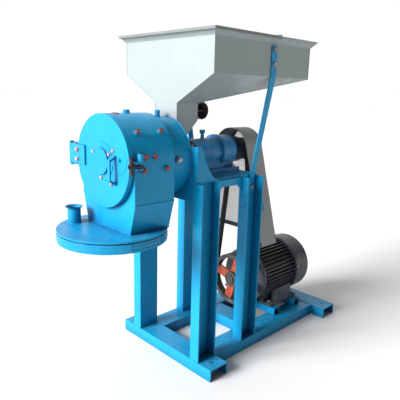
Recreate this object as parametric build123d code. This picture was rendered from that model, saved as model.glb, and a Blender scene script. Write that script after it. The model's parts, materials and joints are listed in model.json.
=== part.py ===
"""Belt-driven hammer mill on a welded channel frame, with hopper, belt guard and motor.

Units are millimetres, +Z is up and the shafts run along Y. The shapes below are drawn
with Y = 0 at the front edge of the base; save() then moves everything so that the
origin is the middle of the floor rectangle that the whole machine covers.
"""
import os
from math import acos, atan2, cos, hypot, radians, sin, sqrt

from build123d import *

os.makedirs("parts", exist_ok=True)

# ---- Base frame -------------------------------------------------------------------------
BASE_HALF_X = 280.0          # half length of the cross channels
BASE_LENGTH = 898.0          # front edge to rear edge
BASE_TOP = 50.0              # flange height of the floor channels
CHANNEL_W = 95.0             # web width of the channels
STEEL = 5.0                  # wall of all hot-rolled sections
RAIL_IN, RAIL_OUT = 114.0, 210.0
MIDDLE_Y = 370.0             # front edge of the middle cross channel
FOOT_HOLE_X, FOOT_HOLE_R = 241.0, 7.0

# ---- Posts and top of the frame ---------------------------------------------------------
POST_IN, POST_OUT = 163.0, 210.0
POST_TOP = 763.0
REAR_POST_Y = 255.0
BEAM_DROP = 28.0             # height of the top angles
GUSSET_X = 179.0             # outer face of the side gussets
GUSSET_TOP = 896.0
GUSSET_DEPTH = 120.0
PLATE_T = 10.0               # mill mounting plate
PLATE_LOW = 692.0
SEAT_T = 8.0

# ---- Mill shaft, bearings and casing ----------------------------------------------------
SHAFT_Z = 850.0
SHAFT_R = 22.45              # runs with 0.05 clearance in the bearings
BEARING_R, BEARING_W = 42.4, 19.0
HOUSING_Y0, HOUSING_Y1 = 118.0, 340.0
HOUSING_R = 56.0
BULGE_R, BULGE_Y = 66.0, 270.0            # the wider rear end of the housing
BEAD_R, BEAD_Y0, BEAD_Y1 = 70.0, 262.0, 276.0
COVER_R, FRONT_COVER_T, REAR_COVER_L = 55.0, 8.0, 60.0
COVER_BOLT_RING = 49.0
BARREL_R = 163.0
CASING_Y0, CASING_Y1 = -264.0, -94.0
CASING_WALL = 6.0
SIDE_LOW = 714.0             # where the straight sides end and the taper starts
CASING_BOTTOM = 610.0
BOTTOM_HALF = 135.0
FEED_R = 148.0
DOOR_OPENING_R = 134.0
LINER_R = 147.0              # inner radius of the toothed ring and the screen
LINER_ANGLES = (-6, 39, 141, 174)
LINER_ROWS = (-231.0, -134.0)
FRONT_STUB_Y, REAR_STUB_Y = -181.0, -42.0

# ---- Door, hinge and clamp --------------------------------------------------------------
DOOR_R = 162.0
DOOR_FRONT, DOOR_BACK = -285.0, -265.0
DOOR_SHEET = 6.0
HINGE_X, HINGE_Y = -212.0, -279.0
HINGE_PIN_R = 5.0
KNUCKLE_R = 10.0
HINGE_Z = (815.0, 830.0, 882.0, 897.0)   # lower lug, upper lug
CLAMP_X, CLAMP_Y, CLAMP_Z = 180.0, -254.0, 852.0
CLAMP_R = 5.0
EAR_FRONT = -281.0

# ---- Discharge hood ---------------------------------------------------------------------
HOOD_Y = -244.0              # centre of the round hood
HOOD_R = 198.0
HOOD_T = 6.0
HOOD_LOW = 568.0
VENT_X, VENT_Y, VENT_R = -131.0, -325.0, 24.0
VENT_TOP = 671.0

# ---- Hopper and feed chute --------------------------------------------------------------
HOPPER_HALF, HOPPER_REAR = 249.0, 557.0
RIM_OUT = 20.0
RIM_Z, LIP_Z, TAPER_Z, THROAT_Z = 1299.0, 1276.0, 1154.0, 1050.0
THROAT_HALF, THROAT_REAR = 62.0, 107.0
SHEET = 2.5
CHUTE_BEND_Z, CHUTE_LOW = 982.0, 884.0
WINDOW_HALF, WINDOW_LOW, WINDOW_TOP = 52.0, 892.0, 955.0
AIR_Y, AIR_Z, AIR_R, AIR_HALF = 146.0, 1020.0, 34.0, 48.0
DAMPER_X = 14.0
STRAP_Y, STRAP_W, STRAP_T = 303.0, 30.0, 5.0

# ---- Belt drive and guard ---------------------------------------------------------------
MOTOR_Z = 226.0
PULLEY_Y, PULLEY_W = 414.0, 35.0
MILL_PULLEY_R, MOTOR_PULLEY_R = 48.0, 122.0
SPOKE_TURN = 15              # turn of the spokes from upright, in degrees
BELT_W, BELT_T, BELT_PITCH = 12.5, 8.0, 15.0
GROOVE_PLAY = 0.4
GUARD_Y0, GUARD_Y1 = 370.0, 472.0
GUARD_R, GUARD_FOOT_X, GUARD_FOOT_Z = 95.0, 205.0, 449.0
GUARD_SHEET = 2.0
MESH_LOW = 489.0

# ---- Motor ------------------------------------------------------------------------------
MOTOR_Y0, FRAME_Y0, FRAME_Y1, MOTOR_Y1 = 508.0, 526.0, 752.0, 857.0
MOTOR_CORE_R, FIN_R, COWL_R = 112.0, 130.0, 141.0
MOTOR_BORE_R = 104.0
FINS, FIN_T = 44, 3.4
RAIL_H, RAIL_W, RAIL_HALF = 34.0, 40.0, 157.0
RAIL_YS = (559.0, 724.0)     # front edges of the two slide rails
MOTOR_BOLT_X = 108.0
FOOT_T, FOOT_IN, FOOT_OUT = 14.0, 62.0, 132.0
RIB_IN, RIB_OUT = 58.0, 84.0              # the ribs that join the feet to the frame
WEB_IN, WEB_OUT, WEB_TOP = 108.0, 126.0, 163.0   # the side walls between the feet
WEB_HOLE_Y, WEB_HOLE_Z, WEB_HOLE_R = 635.0, 131.0, 4.5
BOX_X0, BOX_X1, BOX_Z0, BOX_Z1 = -180.0, -118.0, 150.0, 225.0
BOX_Y0, BOX_Y1 = 640.0, 720.0

FRONT_EDGE = HOOD_Y - HOOD_R
MIDDLE_OF_LENGTH = (FRONT_EDGE + BASE_LENGTH) / 2


# ---- Basic shapes -----------------------------------------------------------------------
def block(x0, x1, y0, y1, z0, z1):
    """A box given by its limits."""
    middle = Pos((x0 + x1) / 2, (y0 + y1) / 2, (z0 + z1) / 2)
    return middle * Box(x1 - x0, y1 - y0, z1 - z0)


def rod_y(radius, y0, y1, x=0.0, z=SHAFT_Z):
    """A cylinder along Y."""
    return Pos(x, (y0 + y1) / 2, z) * Rot(90, 0, 0) * Cylinder(radius, y1 - y0)


def rod_z(radius, z0, z1, x, y):
    """A cylinder along Z."""
    return Pos(x, y, (z0 + z1) / 2) * Cylinder(radius, z1 - z0)


def rod_x(radius, x0, x1, y, z):
    """A cylinder along X."""
    return Pos((x0 + x1) / 2, y, z) * Rot(0, 90, 0) * Cylinder(radius, x1 - x0)


def ring_y(outer, inner, y0, y1, x=0.0, z=SHAFT_Z):
    """A tube along Y."""
    return rod_y(outer, y0, y1, x, z) - rod_y(inner, y0 - 1, y1 + 1, x, z)


def plate_y(outline, y0, y1):
    """A flat plate facing Y, from (x, z) points."""
    face = make_face(Polyline([(x, y0, z) for x, z in outline], close=True))
    return extrude(face, amount=y1 - y0, dir=(0, 1, 0))


def plate_x(outline, x0, x1):
    """A flat plate facing X, from (y, z) points."""
    face = make_face(Polyline([(x0, y, z) for y, z in outline], close=True))
    return extrude(face, amount=x1 - x0, dir=(1, 0, 0))


def plate_z(outline, z0, z1):
    """A flat plate facing Z, from (x, y) points."""
    face = make_face(Polyline([(x, y, z0) for x, y in outline], close=True))
    return extrude(face, amount=z1 - z0, dir=(0, 0, 1))


def frustum(low, z0, high, z1):
    """A straight-sided taper between two (x0, x1, y0, y1) rectangles."""
    sections = []
    for (x0, x1, y0, y1), z in ((low, z0), (high, z1)):
        corners = [(x0, y0, z), (x1, y0, z), (x1, y1, z), (x0, y1, z)]
        sections.append(make_face(Polyline(corners, close=True)))
    return loft(sections, ruled=True)


def both_sides(shape):
    """The shape and its mirror image on the left."""
    return [shape, mirror(shape, about=Plane.YZ)]


def bolt(at, out, across=16.0, head=7.0, shank_r=4.8, depth=10.0, rim=2.5):
    """A hexagon bolt whose washer rests on the point at, with its head pointing out."""
    shape = Pos(0, 0, 0.75) * Cylinder(across / 2 + rim, 1.5)
    shape += extrude(Pos(0, 0, 1.5) * RegularPolygon(across / 2, 6, major_radius=False), head)
    shape += Pos(0, 0, 1.5 - depth / 2) * Cylinder(shank_r, depth + 1)
    return Plane(origin=at, z_dir=out).location * shape


def drill(at, out, radius=5.2, depth=12.0):
    """The hole that goes with a bolt, open 1 mm above the surface."""
    return Plane(origin=at, z_dir=out).location * (Pos(0, 0, 1 - depth / 2) * Cylinder(radius, depth + 2))


def round_places(radius, angles, y, z=SHAFT_Z):
    """Points on a circle about a shaft, at angles from +X towards +Z."""
    return [(radius * cos(radians(a)), y, z + radius * sin(radians(a))) for a in angles]


def radial(angle):
    """The outward direction at an angle round a shaft."""
    return (cos(radians(angle)), 0, sin(radians(angle)))


# ---- Fastener places, shared by the bolts and by the parts that they hold ---------------
FRONTWARD, REARWARD, UP = (0, -1, 0), (0, 1, 0), (0, 0, 1)
BOSS_H = 8.0
LINER_PLACES = [
    (place, radial(angle))
    for row in LINER_ROWS
    for angle in LINER_ANGLES
    for place in round_places(BARREL_R + BOSS_H, [angle], row)
]
LATCH_BOLT_PLACES = [
    (place, radial(9)) for row in (-219.0, -181.0) for place in round_places(BARREL_R + 4, [9], row)
]
FEED_BOLT_PLACE = ((FEED_R + 6, -66.0, SHAFT_Z + 5), (1, 0, 0))
PLATE_BOLT_PLACES = round_places(125.0, (-10, -40, -70, -110, -140, -170), PLATE_T)
CAP_BOLT_PLACES = round_places(57.0, (30, 150, 270), DOOR_FRONT - 1.5)
DOOR_SHANK_R, DOOR_HOLE_R = 3.8, 4.2
DOOR_BOLT_PLACES = [(71.0, DOOR_FRONT, 891.0), (60.0, DOOR_FRONT, 777.0)]
STRAP_BOLT_PLACES = [(-152.0, DOOR_FRONT - DOOR_SHEET, z) for z in (842.0, 876.0)]
COVER_ANGLES = (45, 135, 225, 315)
FRONT_COVER_PLACES = round_places(COVER_BOLT_RING, COVER_ANGLES, HOUSING_Y0 - FRONT_COVER_T)
REAR_COVER_PLACES = round_places(COVER_BOLT_RING, COVER_ANGLES, HOUSING_Y1 + REAR_COVER_L)
HOUSING_FOOT_PLACES = [(x, y, POST_TOP + SEAT_T + 16) for x in (-73.0, 73.0) for y in (150.0, 310.0)]
MOTOR_FOOT_PLACES = [
    (x, y + RAIL_W / 2, BASE_TOP + RAIL_H + FOOT_T)
    for x in (-MOTOR_BOLT_X, MOTOR_BOLT_X) for y in RAIL_YS
]
HOPPER_BOLT_PLACES = [
    (HOPPER_HALF + STRAP_T, STRAP_Y + STRAP_W / 2, z) for z in (1253.0, 1200.0)
]
STRAP_BEND_Z, STRAP_END_Z = 742.0, 694.0
STRAP_FOOT_PLACE = (POST_IN + STEEL + STRAP_T, STRAP_Y + STRAP_W / 2, 716.0)


def with_holes(shape, places, out, radius=5.2, depth=12.0):
    """The shape with a bolt hole at each place."""
    for place in places:
        shape -= drill(place, out, radius, depth)
    return shape


# ---- Frame ------------------------------------------------------------------------------
def cross_channel(y0, half):
    """A floor channel across the machine, flanges down."""
    shape = block(-half, half, y0, y0 + CHANNEL_W, 0, BASE_TOP)
    inside = block(-half - 1, half + 1, y0 + STEEL, y0 + CHANNEL_W - STEEL, -1, BASE_TOP - STEEL)
    return shape - inside


def foot_channel(y0):
    """A cross channel with an anchor hole near each end."""
    shape = cross_channel(y0, BASE_HALF_X)
    for x in (-FOOT_HOLE_X, FOOT_HOLE_X):
        shape -= rod_z(FOOT_HOLE_R, BASE_TOP - STEEL - 1, BASE_TOP + 1, x, y0 + CHANNEL_W / 2)
    return shape


def side_rail():
    """The right floor channel that runs from front to rear."""
    y0, y1 = CHANNEL_W, BASE_LENGTH - CHANNEL_W
    shape = block(RAIL_IN, RAIL_OUT, y0, y1, 0, BASE_TOP)
    return shape - block(RAIL_IN + STEEL, RAIL_OUT - STEEL, y0 - 1, y1 + 1, -1, BASE_TOP - STEEL)


def post(y0):
    """A right post: the web is inboard and the flanges point outward."""
    shape = block(POST_IN, POST_OUT, y0, y0 + CHANNEL_W, BASE_TOP, POST_TOP)
    shape -= block(
        POST_IN + STEEL, POST_OUT + 1, y0 + STEEL, y0 + CHANNEL_W - STEEL, BASE_TOP - 1, POST_TOP + 1
    )
    if y0 == REAR_POST_Y:
        shape -= drill(STRAP_FOOT_PLACE, (1, 0, 0))
    return shape


def top_beam():
    """The right top angle between the posts, with a small corner gusset at the rear."""
    y0, y1 = CHANNEL_W, REAR_POST_Y
    shape = block(GUSSET_X - STEEL, GUSSET_X, y0, y1, POST_TOP - BEAM_DROP, POST_TOP)
    shape += block(130, GUSSET_X, y0, y1, POST_TOP - STEEL, POST_TOP)
    low = POST_TOP - BEAM_DROP
    shape += plate_x([(y1 - 30, low), (y1, low), (y1, low - 30)], GUSSET_X - STEEL, GUSSET_X)
    return shape


def gusset():
    """The right side gusset, whose free edge curves down from the mounting plate."""
    x0, y0, y1 = GUSSET_X - STEEL, PLATE_T, GUSSET_DEPTH
    edge = Spline(
        (x0, y0 + 12, GUSSET_TOP), (x0, 62, 812), (x0, y1, POST_TOP + 4),
        tangents=[(0, 0.35, -1), (0, 1, -0.12)],
    )
    rest = Polyline(
        (x0, y1, POST_TOP + 4), (x0, y1, POST_TOP), (x0, y0, POST_TOP), (x0, y0, GUSSET_TOP),
        (x0, y0 + 12, GUSSET_TOP),
    )
    return extrude(make_face([edge] + rest.edges()), amount=STEEL, dir=(1, 0, 0))


def mounting_plate():
    """The plate that carries the mill, with a notch for the chute and a shaft hole."""
    half, wide = POST_IN, GUSSET_X
    outline = [
        (-half, PLATE_LOW), (half, PLATE_LOW), (half, POST_TOP), (wide, POST_TOP), (wide, GUSSET_TOP),
        (-wide, GUSSET_TOP), (-wide, POST_TOP), (-half, POST_TOP),
    ]
    shape = plate_y(outline, 0, PLATE_T)
    shape -= block(-THROAT_HALF - 1, THROAT_HALF + 1, -1, PLATE_T + 1, CHUTE_LOW - 2, GUSSET_TOP + 1)
    shape -= rod_y(30, -1, PLATE_T + 1)
    return with_holes(shape, PLATE_BOLT_PLACES, REARWARD)


def seat_plate():
    """The cross plate under the bearing housing."""
    shape = block(-170, 170, GUSSET_DEPTH - 15, REAR_POST_Y + CHANNEL_W, POST_TOP, POST_TOP + SEAT_T)
    return with_holes(shape, HOUSING_FOOT_PLACES, UP, depth=30)


# ---- Bearing housing and mill shaft -----------------------------------------------------
def bearing_housing():
    """The cast housing: a barrel with a wider rear end, on a pedestal with a bolted foot."""
    foot_z = POST_TOP + SEAT_T
    shape = rod_y(HOUSING_R, HOUSING_Y0, HOUSING_Y1)
    shape += rod_y(BULGE_R, BULGE_Y, HOUSING_Y1) + rod_y(BEAD_R, BEAD_Y0, BEAD_Y1)
    shape += frustum((-54, 54, 138, 322), foot_z + 14, (-38, 38, 150, 310), SHAFT_Z)
    shape += block(-88, 88, 125, 335, foot_z, foot_z + 16)
    shape -= rod_y(30, HOUSING_Y0 - 1, HOUSING_Y1 + 1)
    for y0 in (HOUSING_Y0 - 1, HOUSING_Y1 - 32):
        shape -= rod_y(BEARING_R + 0.1, y0, y0 + 33)
    shape = with_holes(shape, HOUSING_FOOT_PLACES, UP, depth=17)
    for y, out in ((HOUSING_Y0, FRONTWARD), (HOUSING_Y1, REARWARD)):
        shape = with_holes(shape, round_places(COVER_BOLT_RING, COVER_ANGLES, y), out, 4.2, 12)
    return shape


def shaft_bearings():
    """The two ball bearings, each as one sealed ring."""
    inner = SHAFT_R + 0.05
    front = ring_y(BEARING_R, inner, HOUSING_Y0 + 12, HOUSING_Y0 + 12 + BEARING_W)
    rear = ring_y(BEARING_R, inner, HOUSING_Y1 - 12 - BEARING_W, HOUSING_Y1 - 12)
    return [front, rear]


def bearing_covers():
    """The bolted end covers of the bearing housing: a flat front one and a deep rear one."""
    front = ring_y(HOUSING_R, 24, HOUSING_Y0 - FRONT_COVER_T, HOUSING_Y0)
    rear = ring_y(COVER_R, 24, HOUSING_Y1, HOUSING_Y1 + REAR_COVER_L)
    front = with_holes(front, FRONT_COVER_PLACES, FRONTWARD, 4.2)
    return [front, with_holes(rear, REAR_COVER_PLACES, REARWARD, 4.2, REAR_COVER_L + 2)]


def grease_cup():
    """The screw-top grease cup on the housing."""
    low, y = SHAFT_Z + HOUSING_R - 1, 196.0
    shape = rod_z(8, low, low + 14, 0, y) + rod_z(7, low + 12, low + 24, 0, y)
    shape += rod_z(12, low + 22, low + 36, 0, y)
    return shape - rod_y(HOUSING_R + 0.05, y - 20, y + 20)


def housing_bolts():
    """The cover bolts and the foot bolts of the bearing housing."""
    covers = [bolt(p, FRONTWARD, 10, 5, 3.8, 17) for p in FRONT_COVER_PLACES]
    covers += [bolt(p, REARWARD, 10, 5, 3.8, REAR_COVER_L + 9) for p in REAR_COVER_PLACES]
    return covers + [bolt(p, UP, 19, 9, 4.8, 28) for p in HOUSING_FOOT_PLACES]


def mill_shaft():
    """The stepped shaft from the rotor to the mill pulley."""
    shape = rod_y(20, -226, -90) + rod_y(28, -90, HOUSING_Y0 - 20)
    shape += rod_y(SHAFT_R, HOUSING_Y0 - 20, HOUSING_Y1 + 40)
    return shape + rod_y(19, HOUSING_Y1 + 40, PULLEY_Y + PULLEY_W)


# ---- Mill casing ------------------------------------------------------------------------
def casing_form(radius, inset, low, y0, y1):
    """The casing outline: a round top, straight sides and a taper to the outlet."""
    half = BOTTOM_HALF - inset
    arc = ThreePointArc((-radius, y0, SHAFT_Z), (0, y0, SHAFT_Z + radius), (radius, y0, SHAFT_Z))
    sides = Polyline(
        (radius, y0, SHAFT_Z), (radius, y0, SIDE_LOW), (half, y0, CASING_BOTTOM), (half, y0, low),
        (-half, y0, low), (-half, y0, CASING_BOTTOM), (-radius, y0, SIDE_LOW), (-radius, y0, SHAFT_Z),
    ) if low < CASING_BOTTOM else Polyline(
        (radius, y0, SHAFT_Z), (radius, y0, SIDE_LOW), (half, y0, CASING_BOTTOM),
        (-half, y0, CASING_BOTTOM), (-radius, y0, SIDE_LOW), (-radius, y0, SHAFT_Z),
    )
    return extrude(make_face([arc] + sides.edges()), amount=y1 - y0, dir=(0, 1, 0))


def casing_shell():
    """The welded mill casing, open to the door, to the feed ring and at the bottom."""
    wall = CASING_WALL
    shape = casing_form(BARREL_R, 0, CASING_BOTTOM, CASING_Y0, CASING_Y1)
    for place, out in LINER_PLACES:
        shape += Plane(origin=place, z_dir=out).location * (Pos(0, 0, -BOSS_H) * Cylinder(9.5, 2 * BOSS_H))
    for place, out in LATCH_BOLT_PLACES:
        shape += Plane(origin=place, z_dir=out).location * (Pos(0, 0, -4) * Cylinder(10.5, 8))
    shape -= casing_form(BARREL_R - wall, wall, CASING_BOTTOM - 2, CASING_Y0 + wall, CASING_Y1 - wall)
    shape -= rod_y(DOOR_OPENING_R, CASING_Y0 - 1, CASING_Y0 + wall + 1)
    shape -= rod_y(FEED_R - 10, CASING_Y1 - wall - 1, CASING_Y1 + 1)
    for place, out in LINER_PLACES + LATCH_BOLT_PLACES:
        shape -= drill(place, out, depth=18)
    return shape


def feed_ring():
    """The short drum behind the casing, with the feed window in its back plate."""
    shape = rod_y(FEED_R, CASING_Y1, 0) + rod_x(12, FEED_R - 5, FEED_R + 6, -66, SHAFT_Z + 5)
    shape -= rod_y(FEED_R - CASING_WALL, CASING_Y1 - 1, -8)
    shape -= rod_y(30, -9, 1)
    shape -= block(-WINDOW_HALF, WINDOW_HALF, -9, 1, WINDOW_LOW, WINDOW_TOP)
    shape -= drill(*FEED_BOLT_PLACE, depth=14)
    return with_holes(shape, PLATE_BOLT_PLACES, REARWARD, depth=19)


def sector(radius, start, stop, y0, y1):
    """A wide pie slice about the mill shaft, from one angle to another."""
    steps = 6
    corners = [(0, SHAFT_Z)]
    for i in range(steps + 1):
        a = radians(start + (stop - start) * i / steps)
        corners.append((radius * cos(a), SHAFT_Z + radius * sin(a)))
    return plate_y(corners, y0, y1)


def toothed_liner():
    """The upper wear ring: a toothed arc bolted inside the barrel."""
    y0, y1 = CASING_Y0 + 10, CASING_Y1 - 10
    outer = BARREL_R - CASING_WALL - 0.4
    shape = ring_y(outer, LINER_R + 4, y0, y1)
    for i in range(36):
        shape += Pos(0, 0, SHAFT_Z) * Rot(0, 10 * i, 0) * block(-4, 4, y0, y1, LINER_R, LINER_R + 5)
    shape = shape & sector(2 * BARREL_R, -14, 194, y0, y1)
    for place, out in LINER_PLACES:
        shape -= drill(place, out, depth=22)
    return shape


def screen():
    """The sieve under the rotor: a rolled sheet from one side of the liner to the other."""
    y0, y1 = CASING_Y0 + 12, CASING_Y1 - 12
    return ring_y(LINER_R + 3, LINER_R, y0, y1) & sector(2 * BARREL_R, 197, 343, y0, y1)


def liner_bolts():
    """The bolts round the casing, with those of the latch bracket."""
    bolts = [bolt(p, out, 13, 7, 4.8, 18) for p, out in LINER_PLACES]
    return bolts + [bolt(p, out, 13, 6, 4.8, 10) for p, out in LATCH_BOLT_PLACES]


def top_stubs():
    """Two plugged pipe stubs on top of the casing and of the feed ring."""
    low, top = SHAFT_Z + 140, SHAFT_Z + BARREL_R + 11
    front = rod_z(12, low, top, 0, FRONT_STUB_Y)
    rear = rod_z(10, low - 20, top - 2, 0, REAR_STUB_Y)
    front -= rod_y(BARREL_R + 0.05, FRONT_STUB_Y - 20, FRONT_STUB_Y + 20)
    return [front, rear - rod_y(FEED_R + 0.05, REAR_STUB_Y - 20, REAR_STUB_Y + 20)]


def plate_bolts():
    """The bolts that hold the mill on its mounting plate, and the one on the feed ring."""
    bolts = [bolt(p, REARWARD, 16, 7, 4.8, 17) for p in PLATE_BOLT_PLACES]
    return bolts + [bolt(*FEED_BOLT_PLACE, 15, 8, 4.8, 10)]


# ---- Rotor ------------------------------------------------------------------------------
ROTOR_DISCS = ((-204.0, -196.0), (-150.0, -142.0))
PIN_RING_R = 86.0
HAMMER_TIP_R = 140.0
HAMMER_ANGLES = (45, 135, 225, 315)


def rotor_plates():
    """The two rotor discs on their hub."""
    shape = rod_y(38, -208, -138)
    for y0, y1 in ROTOR_DISCS:
        shape += rod_y(104, y0, y1)
    shape -= rod_y(20.05, -209, -137)
    for x, _, z in round_places(PIN_RING_R, HAMMER_ANGLES, 0):
        shape -= rod_y(8.1, -209, -137, x, z)
    return shape


def hammer_pins():
    """The four pins that carry the hammers."""
    pins = []
    for x, _, z in round_places(PIN_RING_R, HAMMER_ANGLES, 0):
        pins.append(rod_y(8, -210, -136, x, z) + rod_y(11, -212, -205, x, z) + rod_y(11, -141, -136, x, z))
    return pins


def hammers():
    """Three flat hammers on each pin, set out radially."""
    blade = block(-16, 16, -4, 4, -14, HAMMER_TIP_R - PIN_RING_R)
    blade -= rod_y(8.1, -5, 5, 0, 0)
    blades = []
    for angle, (x, _, z) in zip(HAMMER_ANGLES, round_places(PIN_RING_R, HAMMER_ANGLES, 0)):
        for y in (-187.0, -173.0, -159.0):
            blades.append(Pos(x, y, z) * Rot(0, 90 - angle, 0) * blade)
    return blades


def rotor_nut():
    """The nut and washer on the front end of the mill shaft."""
    shape = ring_y(34, 20.1, -214, -208)
    nut = Plane(origin=(0, -214, SHAFT_Z), z_dir=FRONTWARD).location
    return shape + nut * extrude(RegularPolygon(27, 6, major_radius=False), 16) - rod_y(20.1, -231, -207)


# ---- Door, hinge and clamp --------------------------------------------------------------
def door_plate():
    """The round pan-shaped door with its slotted clamp ear."""
    shape = rod_y(DOOR_R, DOOR_FRONT, DOOR_BACK)
    shape -= rod_y(DOOR_R - DOOR_SHEET, DOOR_FRONT + DOOR_SHEET, DOOR_BACK + 1)
    ear = block(DOOR_R - 5, CLAMP_X + 6, EAR_FRONT, EAR_FRONT + 14, CLAMP_Z - 14, CLAMP_Z + 14)
    shape += ear
    shape -= block(CLAMP_X - 8, CLAMP_X + 7, EAR_FRONT - 1, EAR_FRONT + 15, CLAMP_Z - 6, CLAMP_Z + 6)
    shape = with_holes(shape, CAP_BOLT_PLACES + DOOR_BOLT_PLACES, FRONTWARD, DOOR_HOLE_R)
    return with_holes(shape, STRAP_BOLT_PLACES, FRONTWARD, depth=14)


def door_liner():
    """The cast wear plate inside the door: a cup with radial ribs."""
    y0, y1 = DOOR_FRONT + DOOR_SHEET, CASING_Y0 + 10
    shape = rod_y(128, y0, y1) - rod_y(116, y0 + 10, y1 + 1)
    for i in range(8):
        rib = block(-4, 4, y0 + 9, y1 - 3, 30, 117)
        shape += Pos(0, 0, SHAFT_Z) * Rot(0, 45 * i + 22.5, 0) * rib
    shape = with_holes(shape, CAP_BOLT_PLACES, FRONTWARD, DOOR_HOLE_R, 16)
    return with_holes(shape, DOOR_BOLT_PLACES, FRONTWARD, DOOR_HOLE_R, 14)


def door_cap():
    """The raised centre cap on its thin backing ring."""
    shape = rod_y(68, DOOR_FRONT - 1.5, DOOR_FRONT) + rod_y(46, DOOR_FRONT - 8, DOOR_FRONT - 1)
    return with_holes(shape, CAP_BOLT_PLACES, FRONTWARD, DOOR_HOLE_R)


def door_handle():
    """The bent flat-bar pull handle, and the small stop stud beside it."""
    top, low, mid_t = 880.0, 776.0, 5.0
    front = DOOR_FRONT - 27
    outer = [(DOOR_FRONT, low), (front, low + 16), (front, top - 16), (DOOR_FRONT, top)]
    inner = [
        (DOOR_FRONT + 1, low + 2 + mid_t), (front + mid_t, low + 17 + mid_t),
        (front + mid_t, top - 17 - mid_t), (DOOR_FRONT + 1, top - 2 - mid_t),
    ]
    bar = plate_x(outer, 75, 89) - plate_x(inner, 74, 90)
    stud = rod_y(5, DOOR_FRONT - 7, DOOR_FRONT, 110, 865)
    return [bar, stud]


def hinge_strap():
    """The flat strap on the door, ending in the eye round the hinge pin."""
    front, back = DOOR_FRONT - DOOR_SHEET, DOOR_FRONT
    low, high = HINGE_Z[1] + 1, HINGE_Z[2] - 1
    shape = block(HINGE_X + 14, -104, front, back, 824, 894)
    shape += block(HINGE_X, HINGE_X + 15, front + 0.5, back, low, high)
    shape += rod_z(KNUCKLE_R, low, high, HINGE_X, HINGE_Y)
    shape -= rod_z(HINGE_PIN_R + 0.05, low - 1, high + 1, HINGE_X, HINGE_Y)
    return with_holes(shape, STRAP_BOLT_PLACES, FRONTWARD)


def door_bolts():
    """The bolts on the front of the door."""
    bolts = [bolt(p, FRONTWARD, 10, 4, DOOR_SHANK_R, 14, 1.5) for p in CAP_BOLT_PLACES]
    bolts += [bolt(p, FRONTWARD, 10, 4, DOOR_SHANK_R, 12, 1.5) for p in DOOR_BOLT_PLACES]
    return bolts + [bolt(p, FRONTWARD, 14, 6, 4.8, 11) for p in STRAP_BOLT_PLACES]


def hinge_bracket():
    """Two lugs on the casing's left side that hold the hinge pin."""
    shapes = []
    for low, high in (HINGE_Z[0:2], HINGE_Z[2:4]):
        arm = [
            (HINGE_X, HINGE_Y - KNUCKLE_R), (HINGE_X + 9, HINGE_Y - 4), (-BARREL_R - 4, -262),
            (-BARREL_R, -262), (-BARREL_R, -228), (-BARREL_R - 12, -228), (HINGE_X - KNUCKLE_R, HINGE_Y + 2),
        ]
        lug = plate_z(arm, low, high) + rod_z(KNUCKLE_R, low, high, HINGE_X, HINGE_Y)
        lug -= rod_z(HINGE_PIN_R + 0.05, low - 1, high + 1, HINGE_X, HINGE_Y)
        shapes.append(lug - rod_y(BARREL_R + 0.05, -270, -220))
    return shapes


def hinge_pins():
    """The door's hinge pin and the pivot pin of the clamp."""
    low, high = HINGE_Z[0], HINGE_Z[3]
    door = rod_z(HINGE_PIN_R, low - 3, high, HINGE_X, HINGE_Y)
    door += rod_z(8, high, high + 4, HINGE_X, HINGE_Y)
    clamp = rod_z(CLAMP_R, CLAMP_Z - 18, CLAMP_Z + 40, CLAMP_X, CLAMP_Y)
    clamp += rod_z(8, CLAMP_Z + 40, CLAMP_Z + 43, CLAMP_X, CLAMP_Y)
    return [door, clamp]


def clamp_bracket():
    """Two lugs on the casing's right side round the clamp's pivot, with a tall top boss."""
    shapes = []
    lugs = ((CLAMP_Z - 14, CLAMP_Z - 7, CLAMP_Z - 7), (CLAMP_Z + 7, CLAMP_Z + 14, CLAMP_Z + 40))
    for low, high, top in lugs:
        lug = block(BARREL_R - 2, CLAMP_X, CLAMP_Y - 9, CLAMP_Y + 9, low, high)
        lug += rod_z(9.5, low, top, CLAMP_X, CLAMP_Y)
        lug -= rod_z(CLAMP_R + 0.05, low - 1, CLAMP_Z + 45, CLAMP_X, CLAMP_Y)
        lug -= rod_y(BARREL_R + 0.05, -280, -220)
        shapes.append(lug - block(-BARREL_R, BARREL_R + 0.05, -280, -220, SIDE_LOW, SHAFT_Z))
    return shapes


def swing_bolt():
    """The eye bolt that swings into the slot of the door's ear."""
    shape = rod_z(9.5, CLAMP_Z - 6.5, CLAMP_Z + 6.5, CLAMP_X, CLAMP_Y)
    shape += rod_y(CLAMP_R, EAR_FRONT - 20, CLAMP_Y - 7, CLAMP_X, CLAMP_Z)
    return shape - rod_z(CLAMP_R + 0.05, CLAMP_Z - 8, CLAMP_Z + 8, CLAMP_X, CLAMP_Y)


def hand_nut():
    """The winged nut on the clamp's eye bolt."""
    face = EAR_FRONT - 1
    shape = rod_y(11, face - 14, face, CLAMP_X, CLAMP_Z)
    shape += block(CLAMP_X - 4, CLAMP_X + 4, face - 13, face - 4, CLAMP_Z - 24, CLAMP_Z + 24)
    for side in (-1, 1):
        shape += rod_y(7, face - 13, face - 4, CLAMP_X, CLAMP_Z + 23 * side)
    return shape - rod_y(CLAMP_R + 0.05, face - 15, face + 1, CLAMP_X, CLAMP_Z)


# ---- Discharge hood ---------------------------------------------------------------------
def discharge_hood():
    """The round plate under the casing, open to the outlet and to the vent pipe."""
    shape = rod_z(HOOD_R, CASING_BOTTOM - HOOD_T, CASING_BOTTOM, 0, HOOD_Y)
    half, wall = BOTTOM_HALF - CASING_WALL, CASING_WALL
    low, high = CASING_BOTTOM - HOOD_T - 1, CASING_BOTTOM + 1
    shape -= block(-half, half, CASING_Y0 + wall, CASING_Y1 - wall, low, high)
    return shape - rod_z(VENT_R - 3, low, high, VENT_X, VENT_Y)


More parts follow.
